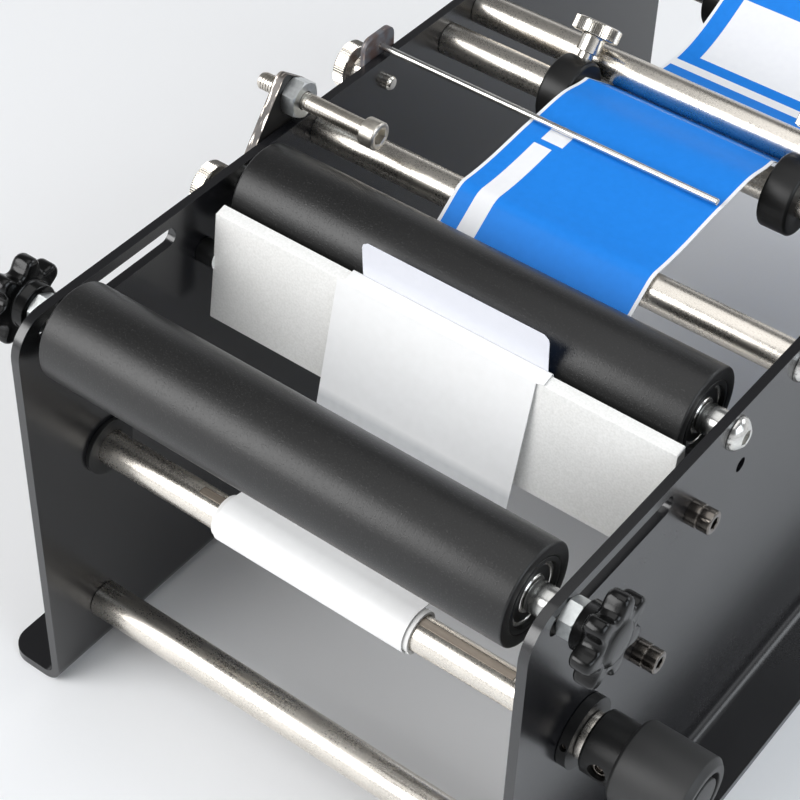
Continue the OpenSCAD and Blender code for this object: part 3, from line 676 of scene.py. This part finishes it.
# %% Nuts
def nut(x0, x1, flat, bore, axis, segs=96):
    verts, faces, rows = [], [], []
    keep = flat * 1.02
    for place, radius in (("low", bore), ("low", keep), ("low_edge", None), ("high_edge", None),
                          ("high", keep), ("high", bore)):
        row = []
        for i in range(segs):
            a = 2 * math.pi * i / segs
            hexagon = flat / math.cos((a + math.pi / 6) % (math.pi / 3) - math.pi / 6)
            cut = max(0.0, hexagon - keep) * 0.58
            x = {"low": x0, "high": x1, "low_edge": x0 + cut, "high_edge": x1 - cut}[place]
            r = hexagon if radius is None else radius
            row.append(len(verts))
            verts.append((x, axis[0] + r * math.cos(a), axis[1] + r * math.sin(a)))
        rows.append(row)
    for p, q in zip(rows, rows[1:] + rows[:1]):
        faces += [(p[i], p[(i + 1) % segs], q[(i + 1) % segs], q[i]) for i in range(segs)]
    return verts, faces


piece("axle_nut_pair", [nut(OUT, OUT + 4.5, 5, 3.06, FRONT), nut(-OUT - 4.5, -OUT, 5, 3.06, FRONT)], zinc,
      ["axle_nuts"], 25)
piece("stop_lock_nut", [nut(-87.1, -82.1, 5.5, 3.06, STOP_HOLE)], zinc, ["stop_nut"], 25)
piece("front_axle_bar", [spun(bar(-98, 98, 3), FRONT, 48)], bright_steel, ["front_axle"])
print("nuts ready")

# %% [markdown]
# ## Star knobs
# The knobs that lock the front roller are moulded plastic stars: seven soft lobes, a round neck and a
# smooth cap in the middle of the face. The outline is a circle whose radius swells seven times, and
# every ring of the knob is that outline pulled in a little, so the edges come out rounded.


# %% Star knobs
def lobes(r, a):
    wave = math.tanh(1.5 * math.cos(7 * (a - math.radians(20)))) / math.tanh(1.5)
    return r if r < 8.5 else r - 1.95 * (1 - wave)


def star_profile(x0):
    neck = [(x0, 3.06), (x0, 6.6), (x0 + 0.4, 7.0), (x0 + 3.0, 7.0), (x0 + 3.6, 7.6), (x0 + 3.8, 8.3)]
    rim = [(3.8, 11.6), (4.0, 12.5), (4.5, 13.1), (5.2, 13.4), (8.8, 13.4), (9.6, 13.1), (10.1, 12.5),
           (10.3, 11.6)]
    crown = [(10.25, 8.6), (10.2, 7.2), (10.25, 6.7), (10.6, 6.4), (11.0, 5.4), (11.22, 3.6), (11.3, 1.6),
             (11.3, 0)]
    return [p for p in neck] + [(x0 + x, r) for x, r in rim + crown]


for side, sign in (("left", -1), ("right", 1)):
    bore = [(91.2 + 7.0, 0), (91.2 + 7.0, 3.06)]
    shape = [(sign * x, r) for x, r in bore + star_profile(91.2)]
    made = piece("star_knob_" + side, [spun(shape, FRONT, 168, lobes)], knob_plastic, ["star_" + side], 50)
    print(made.name, len(made.data.polygons), "faces")

# %% [markdown]
# ## Thumb screws
# Six knurled thumb screws clamp the collars, the stop arm and the press bracket. The head is a disc with
# fine ribs. A tree makes the ribs: narrow bars set around a circle and turned to face outward. They are
# joined to a turned neck and disc, and the same mesh is placed six times by a matrix.

# %% Knurl tree
knurl = Tree("knurl_ribs", Count="Int", Radius="Float", Length="Float", Rib="Float", Finish="Material")
circle = knurl.node("GeometryNodeMeshCircle", {}, {"Vertices": knurl["Count"], "Radius": knurl["Radius"]})
lean = knurl.node("ShaderNodeVectorMath", {"operation": "MULTIPLY"},
                  {0: knurl.node("GeometryNodeInputPosition")[0], 1: (1.0, 1.0, 0.0)})
face_out = knurl.node("FunctionNodeAlignRotationToVector", {"axis": "X"}, {"Vector": lean[0]})
size = knurl.node("ShaderNodeCombineXYZ", {}, {"X": knurl["Rib"], "Y": knurl["Rib"], "Z": knurl["Length"]})
rib = knurl.node("GeometryNodeMeshCube", {}, {"Size": size[0]})
on_edge = knurl.node("GeometryNodeTransform", {}, {"Geometry": rib[0], "Rotation": (0.0, 0.0, math.pi / 4)})
ribs = knurl.node("GeometryNodeInstanceOnPoints", {},
                  {"Points": circle[0], "Instance": on_edge[0], "Rotation": face_out[0]})
knurl.finish(ribs[0], knurl["Finish"])


def shells_of(mesh):
    return [tuple(c * 1000 for c in v.co) for v in mesh.vertices], [tuple(p.vertices) for p in mesh.polygons]


def knurled(count, radius, length, rib, x):
    """Ribs along the X axis, centred at x, as a shell in millimetres."""
    mesh = grown(knurl, {"Count": count, "Radius": radius / 1000, "Length": length / 1000,
                         "Rib": rib / 1000, "Finish": chrome})
    verts, faces = shells_of(mesh)
    return [(z + x, y0, -x0) for x0, y0, z in verts], faces


thumb_ribs = knurled(64, 7.68, 3.9, 0.42, 7.8)
print("knurl:", len(thumb_ribs[1]), "faces")


# %% Thumb screws
def thumb(reach):
    """Shells along +X with the neck's foot at 0 and a shank that reaches back by reach."""
    turned = eased([(-reach, 0), (-reach, 1.8), (0.8 - reach, 2.5), (0, 2.5), (0, 3.95), (5.3, 3.95),
                    (5.4, 7.0), (5.9, 7.7),
                    (9.7, 7.7), (10.2, 7.1), (10.2, 5.0), (9.9, 4.7), (9.9, 0)], 0.3)
    return [spun(turned, (0, 0), 72), thumb_ribs]


def facing(origin, direction):
    """Turns +X shells to point along direction from origin, both in drawing axes."""
    quat = Vector((1, 0, 0)).rotation_difference(Vector(direction))
    return Matrix.Translation(Vector(origin)) @ quat.to_matrix().to_4x4()


tilt, aft = [(0, math.cos(math.radians(a)), math.sin(math.radians(a))) for a in (50, -20)]
for node, x, axis, along_to, start, reach in (
        ("thumb_left", -36, COLLARS, tilt, 14, 8.1), ("thumb_right", 45, COLLARS, tilt, 14, 8.1),
        ("supply_thumb_left", -39.5, SUPPLY, aft, 14, 8.1),
        ("supply_thumb_right", 47.5, SUPPLY, aft, 14, 8.1),
        ("stop_thumb", -90.3, STOP_PIVOT, (-1, 0, 0), 0, 9.8),
        ("press_thumb", -89.1, PRESS_PIVOT, (-1, 0, 0), 0, 8.6)):
    foot = Vector((x, *axis)) + Vector(along_to) * start
    piece(node + "_knurled", thumb(reach), chrome, [node], 30, facing(foot, along_to))
print("thumb screws placed:", 6)

# %% [markdown]
# ## Collars, bushes and the label roll
# Black collars stop the web from wandering and keep the roll in place. The roll itself is wound labels on
# a cardboard core and a plastic hub. Its outer turn carries the print, so its UV map counts on where the
# web leaves it, and its sides show the edges of the layers.

# %% Collars and bushes
for node, x0, axis in (("collar_left", -41, COLLARS), ("collar_right", 40, COLLARS),
                       ("supply_collar_left", -44.5, SUPPLY),
                       ("supply_collar_right", 42.5, SUPPLY)):
    ring = eased([(x0, 9), (x0, 11.3), (x0 + 0.7, 12), (x0 + 9.3, 12), (x0 + 10, 11.3), (x0 + 10, 5.56),
                  (x0, 5.56), (x0, 9)], 0.3)
    piece(node + "_ring", [spun(ring, axis, 96)], blackened, [node])
bush = eased([(81.9, 8), (81.9, 9.5), (83.5, 9.5), (83.5, 7.5), (86.5, 7.5), (86.5, 5.56), (81.9, 5.56),
              (81.9, 8)], 0.2)
piece("shaft_bushes", [spun(p, TAKE, 72) for p in ring_pair(bush)], bush_plastic, ["take_bushes"])
piece("roll_hub", [spun(tube(-32.5, 41.5, 5.56, 12, 0.5), SUPPLY, 72)], bush_plastic, ["supply_hub"])
piece("roll_core", [spun(tube(-29.5, 38.5, 12, 15, 0.2), SUPPLY, 72)], core_card, ["supply_core"])
print("collars and bushes ready")

# %% [markdown]
# ## The web
# Labels and backing paper leave the roll, sag, pass under one rod and loosely over another, dip under the
# press rod, go over the middle rod and under the rear roller, and turn sharply over the peel plate. It is
# one strip, so its side view is computed as a chain of arcs, tangents and easy curves, the same as in the
# solid, only finer. The strip is then given its width, its thickness and a UV map in millimetres.


# %% Path of the web
def arc(c, r, a, b):
    n = max(2, int(abs(b - a) / 4))
    angles = [math.radians(a + (b - a) * i / n) for i in range(n + 1)]
    return [(c[0] + r * math.cos(t), c[1] + r * math.sin(t)) for t in angles]


def curve(p0, p1, p2, p3, n):
    points = []
    for i in range(1, n):
        t = i / n
        share = ((1 - t) ** 3, 3 * (1 - t) ** 2 * t, 3 * (1 - t) * t * t, t ** 3)
        points.append(tuple(sum(w * p[k] for w, p in zip(share, (p0, p1, p2, p3))) for k in (0, 1)))
    return points


def crossing(c, r, d, q, s):
    heading = math.atan2(d[1] - c[1], d[0] - c[0])
    return math.degrees(heading + s * math.acos((r + q) / math.dist(c, d)))


def on(c, r, a):
    return (c[0] + r * math.cos(math.radians(a)), c[1] + r * math.sin(math.radians(a)))


def step(p, k, d):
    return (p[0] + k * d[0], p[1] + k * d[1])


def left_turn(a):
    return (-math.sin(math.radians(a)), math.cos(math.radians(a)))


def right_turn(a):
    return (math.sin(math.radians(a)), -math.cos(math.radians(a)))


LIFT, PEEL_BACK, PEEL_FRONT = 0.45, (79.6, 150.0), (75.8, 149.0)
r_roll, r_rod, r_mid = ROLL_R + LIFT, 5.5 + LIFT, 7.0
r_back, r_bar, r_take = 15 + LIFT, 4 + LIFT, 6.8 + LIFT
CREST, r_crest = (197.0, 149.2), 2.1
rear_out = crossing(REAR, r_rod, CREST, r_crest, 1) - 360
mid_out = crossing(MID, r_mid, BACK, r_back, -1)
back_out = crossing(BACK, r_back, PEEL_BACK, LIFT, 1) - 360
peel_top = math.degrees(math.atan2(PEEL_FRONT[1] - PEEL_BACK[1], PEEL_FRONT[0] - PEEL_BACK[0])) + 270
peel_out = crossing(PEEL_FRONT, LIFT, BAR, r_bar, -1) + 360
bar_out = crossing(BAR, r_bar, TAKE, r_take, 1)
LEAVE = 116.6
leave, enter = on(SUPPLY, r_roll, LEAVE), on(REAR, r_rod, -115)
sag = math.dist(leave, enter)
over, dip, rise = on(CREST, r_crest, 88), (PRESS[0], PRESS[1] - PRESS_R - LIFT), on(MID, r_mid, 86)
hump = ((over[0] + dip[0]) / 2, dip[1] + 0.8)
roll_part = [leave] + curve(leave, step(leave, 0.38 * sag, left_turn(LEAVE)),
                            step(enter, -0.58 * sag, right_turn(-115)), enter, 40)
roll_part += arc(REAR, r_rod, -115, rear_out) + arc(CREST, r_crest, rear_out + 180, 88)
roll_part += curve(over, step(over, 6, left_turn(88)), step(hump, 6, (1, 0)), hump, 12) + [hump]
roll_part += curve(hump, (hump[0] - 6, hump[1]), (dip[0] + 5, dip[1]), dip, 16)
front_part = [dip] + curve(dip, (dip[0] - 8, dip[1]), step(rise, -14, left_turn(86)), rise, 20)
front_part += arc(MID, r_mid, 86, mid_out) + arc(BACK, r_back, mid_out - 180, back_out)
front_part += arc(PEEL_BACK, LIFT, back_out + 180, peel_top)
bare_part = arc(PEEL_FRONT, LIFT, peel_top, peel_out) + arc(BAR, r_bar, peel_out - 180, bar_out)
last_lap = [on(TAKE, r_take - 0.003 * a, bar_out + 180 + 4 * a) for a in range(66)]
web_path = roll_part + front_part + bare_part + last_lap
web_length = sum(math.dist(a, b) for a, b in zip(web_path, web_path[1:]))
print("web:", len(web_path), "points,", round(web_length), "mm long")


# %% Web strip
def strip(path, zero, x0, x1, thick, columns=12, drift=None):
    """A closed strip along path: upper faces first, with lengths from the point numbered zero.
    drift gives each point a step sideways."""
    n, verts, faces = len(path), [], []
    for side in (0.5, -0.5):
        for i, p in enumerate(path):
            a, b = path[max(i - 1, 0)], path[min(i + 1, n - 1)]
            k = thick * side / max(math.dist(a, b), 1e-9)
            for c in range(columns + 1):
                x = x0 + (x1 - x0) * c / columns + (drift[i] if drift else 0)
                verts.append((x, p[0] + (b[1] - a[1]) * k, p[1] - (b[0] - a[0]) * k))
    w, m = columns + 1, n * (columns + 1)
    for i in range(n - 1):
        for c in range(columns):
            q = i * w + c
            faces.append((q, q + 1, q + w + 1, q + w))
    upper = len(faces)
    faces += [tuple(i + m for i in reversed(q)) for q in faces[:upper]]
    edge = [i * w for i in range(n)] + [(n - 1) * w + c for c in range(1, w)]
    edge += [i * w + columns for i in range(n - 2, -1, -1)] + list(range(columns - 1, 0, -1))
    faces += [(a, b, b + m, a + m) for a, b in zip(edge, edge[1:] + edge[:1])]
    run = [0.0]
    for a, b in zip(path, path[1:]):
        run.append(run[-1] + math.dist(a, b))
    return verts, faces, upper, [run[zero] - s for s in run]


def printed(obj, upper, lengths, columns, back, bare_below=None):
    """Print on the upper faces, plain paper on the rest; UV in millimetres."""
    mesh, w = obj.data, columns + 1
    mesh.materials.append(back)
    uv = mesh.uv_layers.new(name="UVMap")
    for face in mesh.polygons:
        i = min(face.vertices) // w if face.index < upper else 0
        bare = bare_below is not None and lengths[min(i, len(lengths) - 1)] <= bare_below
        plain = face.index >= upper or bare
        face.material_index = 1 if plain else 0
        for corner, vert in zip(face.loop_indices, face.vertices):
            k = vert % (w * len(lengths))
            uv.data[corner].uv = (k % w / columns * WEB_W, lengths[k // w])


COLUMNS = 12
wander = [0.0] * len(roll_part + front_part)
steps = len(bare_part)
aside = PAPER_X - (WEB_LEFT + WEB_RIGHT) / 2
wander += [aside * i / steps for i in range(steps)] + [aside] * len(last_lap)
verts, faces, upper, lengths = strip(web_path, len(roll_part), WEB_LEFT, WEB_RIGHT, 0.3, COLUMNS, wander)
edge_at = lengths[len(roll_part) + len(front_part) - 1]
mesh = bpy.data.meshes.new("label_strip")
mesh.from_pydata([at(*p) for p in verts], [], faces)
mesh.shade_smooth()
mesh.set_sharp_from_angle(angle=math.radians(50))
web = settle(bpy.data.objects.new("label_strip", mesh), label_print, ["label_web"])
printed(web, upper, lengths, COLUMNS, liner_paper, edge_at + 0.5)
print("peel edge lies", round(edge_at, 1), "mm from the press rod")

# %% [markdown]
# ## Label roll and wound paper
# The outer turn of the roll is a cylinder with the print running on; its sides are layer edges. The used
# backing paper on the take-up shaft is a real winding: a tree draws a spiral and pulls it along the shaft,
# so that the ends show the turns and the outer edge shows the last lap.

# %% Label roll
segs, r = 180, ROLL_R
shell, quads = spun([(-29.5, 15), (-29.5, r - 0.2), (-29.3, r), (38.3, r), (38.5, r - 0.2), (38.5, 15)],
                    SUPPLY, segs)
quads += [(5 * segs + i, 5 * segs + (i + 1) % segs, (i + 1) % segs, i) for i in range(segs)]
mesh = bpy.data.meshes.new("label_roll_wound")
mesh.from_pydata([at(*p) for p in shell], [], quads)
uv = mesh.uv_layers.new(name="UVMap")
for face in mesh.polygons:
    i = face.index % segs
    past = 0 if (i + 0.5) * 360 / segs < LEAVE else 360
    for corner, vert in zip(face.loop_indices, face.vertices):
        a = (i + (1 if vert % segs != i else 0)) * 360 / segs - past
        uv.data[corner].uv = (shell[vert][0] + 29.5, lengths[0] + math.radians(LEAVE - a) * r)
mesh.shade_smooth()
mesh.set_sharp_from_angle(angle=math.radians(40))
roll = settle(bpy.data.objects.new("label_roll_wound", mesh), label_print, ["supply_roll"])
roll.data.materials.append(roll_edge)
for face in roll.data.polygons:
    face.material_index = 0 if segs <= face.index < 4 * segs else 1
print("label roll", round(2 * r), "mm across")

# %% Wound backing paper
winding = Tree("wound_sheet", Turns="Float", Inner="Float", Outer="Float", Width="Float", Thick="Float",
               Finish="Material")
spiral = winding.node("GeometryNodeCurveSpiral", {}, {"Resolution": 64, "Rotations": winding["Turns"],
                      "Start Radius": winding["Inner"], "End Radius": winding["Outer"], "Height": 0.0})
quad = winding.node("GeometryNodeCurvePrimitiveQuadrilateral", {},
                    {"Width": winding["Thick"], "Height": winding["Width"]})
sheet = winding.node("GeometryNodeCurveToMesh", {},
                     {"Curve": spiral[0], "Profile Curve": quad[0], "Fill Caps": True})
winding.finish(sheet[0], winding["Finish"])
mesh = grown(winding, {"Turns": 4.4, "Inner": 5.68 / 1000, "Outer": 6.7 / 1000, "Width": 71 / 1000,
                       "Thick": 0.2 / 1000,
                       "Finish": wound_white})
verts, faces = shells_of(mesh)
piece("wound_paper", [([(PAPER_X + z, TAKE[0] + x, TAKE[1] + y) for x, y, z in verts], faces)], wound_white,
      ["take_paper"], 50)
print("winding:", len(faces), "faces")

# %% [markdown]
# ## Peel plate and the half-peeled label
# The peel plate is a thick bar with a narrow bevel along its top. The web turns over that edge too sharply
# for the stiff label, which stands up by itself. The label keeps a slight curl and has rounded corners.

# %% Peel plate
start = (73.55, 130.5)
outline = eased([start, (75.8, 149.0), (79.6, 150.0), (81.0, 132.0), (78.5, 112.0), (71.3, 112.0), start],
                0.22)[:-1]
rows = [(-77.3, 0.25), (-77.05, 0), (80.45, 0), (80.7, 0.25)]
mid = (76.8, 131.0)
verts, faces, n = [], [], len(outline)
for x, inset in rows:
    for y, z in outline:
        d = math.dist((y, z), mid)
        verts.append((x, y + (mid[0] - y) * inset / d, z + (mid[1] - z) * inset / d))
for k in range(3):
    faces += [(k * n + i, k * n + (i + 1) % n, (k + 1) * n + (i + 1) % n,
               (k + 1) * n + i) for i in range(n)]
faces += [tuple(range(n)), tuple(range(3 * n, 4 * n))]
bosses = [spun(bar(80.2, HALF, 4, 0.2), (76.8, 131.5), 48),
          spun(bar(-HALF, -76.8, 4, 0.2), (76.8, 131.5), 48)]
made = piece("peel_bar", [(verts, faces)] + bosses, peel_satin, ["peel_plate"], 30)
made.data.materials.append(blackened)
for face in made.data.polygons:
    face.material_index = 0 if at(-77.4, 0, 0).x < face.center.x < at(80.8, 0, 0).x else 1
print("peel plate", n, "points around")

# %% Half-peeled label
columns, rows_up = 24, 12
x0, x1, base, height = -26.0, 37.0, (79.5, 150.75), 13.0
side = []
for i in range(rows_up + 1):
    t = i / rows_up
    side.append((base[0] + 0.25 - 1.15 * t + 0.25 * t * t, base[1] + height * 0.995 * t))
side = side[::-1]
verts, faces, upper, _ = strip(side, 0, x0, x1, 0.18, columns)
corner = 2.4
fitted = []
for x, y, z in verts:
    drop = max(0.0, z - (base[1] + height - corner))
    pull = corner - math.sqrt(max(0.0, corner ** 2 - min(drop, corner) ** 2)) if drop > 0 else 0
    mid_x = (x0 + x1) / 2
    fitted.append((mid_x + (x - mid_x) * (1 - pull / ((x1 - x0) / 2)), y, z))
label = piece("standing_label", [(fitted, faces)], label_back, ["peeled_label"], 60)
label.data.materials.append(label_print)
uv = label.data.uv_layers.new(name="UVMap")
top = at(0, 0, base[1] + height).z
for face in label.data.polygons:
    face.material_index = 1 if face.normal.y > 0.5 else 0
    for corner, vert in zip(face.loop_indices, face.vertices):
        co = label.data.vertices[vert].co
        uv.data[corner].uv = (co.x * 1000 + MID_X + 29.5, FIRST + (top - co.z) * 1000)
print("label", x1 - x0, "by", height, "mm")

# %% [markdown]
# ## Take-up drive
# The take-up shaft leaves the right plate through a set collar and a bright ring into a hub, and ends in a
# plain black knob. The knob has a chamfered rim and a ring groove around a flat disc in its end face.

# %% Drive knob
ring = tube(89.7, 92.3, 5.5, 7.2, 0.5)
piece("shaft_ring", [spun(ring, TAKE, 72)], nickel, ["bright_ring"])
knob = eased([(102.9, 0), (102.9, 11.5), (103.9, 12.5), (123.6, 12.5), (125.2, 10.9), (125.2, 8.75),
              (122.2, 8.75), (122.2, 7.0),
              (125.2, 7.0), (125.2, 0)], 0.35)
piece("winding_knob", [spun(knob, TAKE, 128)], drive_black, ["drive_knob"])
grub = eased([(5.8, 0), (5.8, 2.72), (8.0, 2.72), (8.0, 1.5), (6.9, 1.4), (6.9, 0)], 0.15)
small = eased([(5.8, 0), (5.8, 1.05), (9.8, 1.05), (9.8, 0.5), (9.0, 0.5), (9.0, 0)], 0.12)
moved = []
for shape, x, a in ((grub, 98.5, 90), (small, 88.2, 72)):
    turn = facing((x, *TAKE), (0, -math.sin(math.radians(a)), math.cos(math.radians(a))))
    shell, quads = spun(shape, (0, 0), 36)
    moved.append(([tuple(turn @ Vector(p)) for p in shell], quads))
piece("grub_pair", moved, dark_nickel, ["grub_screws"])
print("drive ready")

# %% [markdown]
# ## Stop screw
# A long socket screw in the stop arm sets how far the bottle goes in. Its thread is what the eye looks for.
# A tree draws a helix and sweeps a three-sided profile along it around a plain core. The curve's normal is
# set to Z Up, so the tooth points outward all the way. The head has a fine knurl and a hexagon socket.

# %% Stop screw
thread = Tree("screw_thread", Turns="Float", Radius="Float", Length="Float", Depth="Float",
              Finish="Material")
helix = thread.node("GeometryNodeCurveSpiral", {},
                    {"Resolution": 28, "Rotations": thread["Turns"], "Start Radius": thread["Radius"],
                    "End Radius": thread["Radius"], "Height": thread["Length"]})
upright = thread.node("GeometryNodeSetCurveNormal", {"mode": "Z_UP"}, {"Curve": helix[0]})
tooth = thread.node("GeometryNodeCurvePrimitiveCircle", {"mode": "RADIUS"},
                    {"Resolution": 3, "Radius": thread["Depth"]})
ridge = thread.node("GeometryNodeCurveToMesh", {},
                    {"Curve": upright[0], "Profile Curve": tooth[0], "Fill Caps": True})
thread.finish(ridge[0], thread["Finish"])
mesh = grown(thread, {"Turns": 39.0, "Radius": 2.6 / 1000, "Length": 39.0 / 1000, "Depth": 0.4 / 1000,
                      "Finish": satin_steel})
verts, faces = shells_of(mesh)
radii = [math.hypot(x, y) for x, y, z in verts]
print("thread crest", round(max(radii), 2), "mm, root", round(min(radii), 2))
ridges = ([(-98.5 + z, STOP_HOLE[0] + x, STOP_HOLE[1] + y) for x, y, z in verts], faces)
core_bar = spun(bar(-99.1, -58.9, 2.5, 0.4), STOP_HOLE, 36)
head = [(x - 59, r) for x, r in socket_head(eased([(0, 0), (0, 4.2), (0.3, 4.5), (5.0, 4.5), (5.5, 3.9),
                                                   (5.5, 3.2)], 0.2), 2.5, 2.8)]
rib_ring = knurled(54, 4.36, 4.0, 0.2, -59 + 2.6)
rib_ring = ([(x, y + STOP_HOLE[0], z + STOP_HOLE[1]) for x, y, z in rib_ring[0]], rib_ring[1])
piece("stop_socket_screw", [ridges, core_bar, spun(head, STOP_HOLE, 72, hexed(2.5 * 0.95)), rib_ring],
      satin_steel, ["stop_screw"], 30)
print("thread:", len(faces), "faces")

# %% [markdown]
# ## Studio
# The photograph has a plain pale table and soft light: a large softbox at the front left, a wide one
# overhead, a cool fill at the right and a faint cool one at the rear right, which draws the bright line
# along the bend of the foot. The world is pale at the horizon, like the walls of a studio, and dark
# above, so that black paint stays black and metal has something to mirror. A wide floor takes the soft
# shadows.

# %% Floor
bpy.ops.mesh.primitive_plane_add(size=8)
floor = bpy.context.object
floor.name = "table"
f = Finish("pale_table")
tone = f.noise(3, 2)
floor.data.materials.append(f.surface(Base_Color=f.mix(tone, (0.925, 0.93, 0.94), (0.94, 0.945, 0.955)),
                                      Roughness=0.6))
print("table", tuple(floor.dimensions))


# %% Lights
def softbox(name, place, look, width, height, power, colour=(1, 1, 1)):
    lamp = bpy.data.lights.new(name, "AREA")
    lamp.shape, lamp.size, lamp.size_y, lamp.energy, lamp.color = "RECTANGLE", width, height, power, colour
    o = bpy.data.objects.new(name, lamp)
    o.location = place
    o.rotation_euler = (Vector(look) - Vector(place)).to_track_quat("-Z", "Y").to_euler()
    bpy.context.scene.collection.objects.link(o)
    return o


softbox("key", (-1.0, -1.55, 1.15), (0, 0, 0.1), 1.5, 1.3, 37)
softbox("overhead", (-0.1, 0.0, 1.7), (0, 0, 0.1), 1.9, 1.0, 7.5)
softbox("right_fill", (1.15, -0.2, 0.95), (0.1, 0, 0), 1.0, 0.8, 8.5, (0.86, 0.93, 1))
softbox("rear_right", (0.75, 1.25, 1.1), (0, 0.1, 0.0), 0.9, 0.6, 5.5, (0.92, 0.96, 1))
world = bpy.data.worlds.new("studio")
bpy.context.scene.world = world
world.use_nodes = True
nodes, links = world.node_tree.nodes, world.node_tree.links
aim = nodes.new("ShaderNodeTexCoord")
height = nodes.new("ShaderNodeSeparateXYZ")
links.new(aim.outputs["Generated"], height.inputs[0])
strength = nodes.new("ShaderNodeMapRange")
strength.interpolation_type = "SMOOTHSTEP"
links.new(height.outputs["Z"], strength.inputs[0])
for socket, value in zip(strength.inputs[1:5], (0.1, 0.55, 0.88, 0.14)):
    socket.default_value = value
back = nodes["Background"]
back.inputs[0].default_value = (0.97, 0.98, 1.0, 1)
links.new(strength.outputs[0], back.inputs[1])
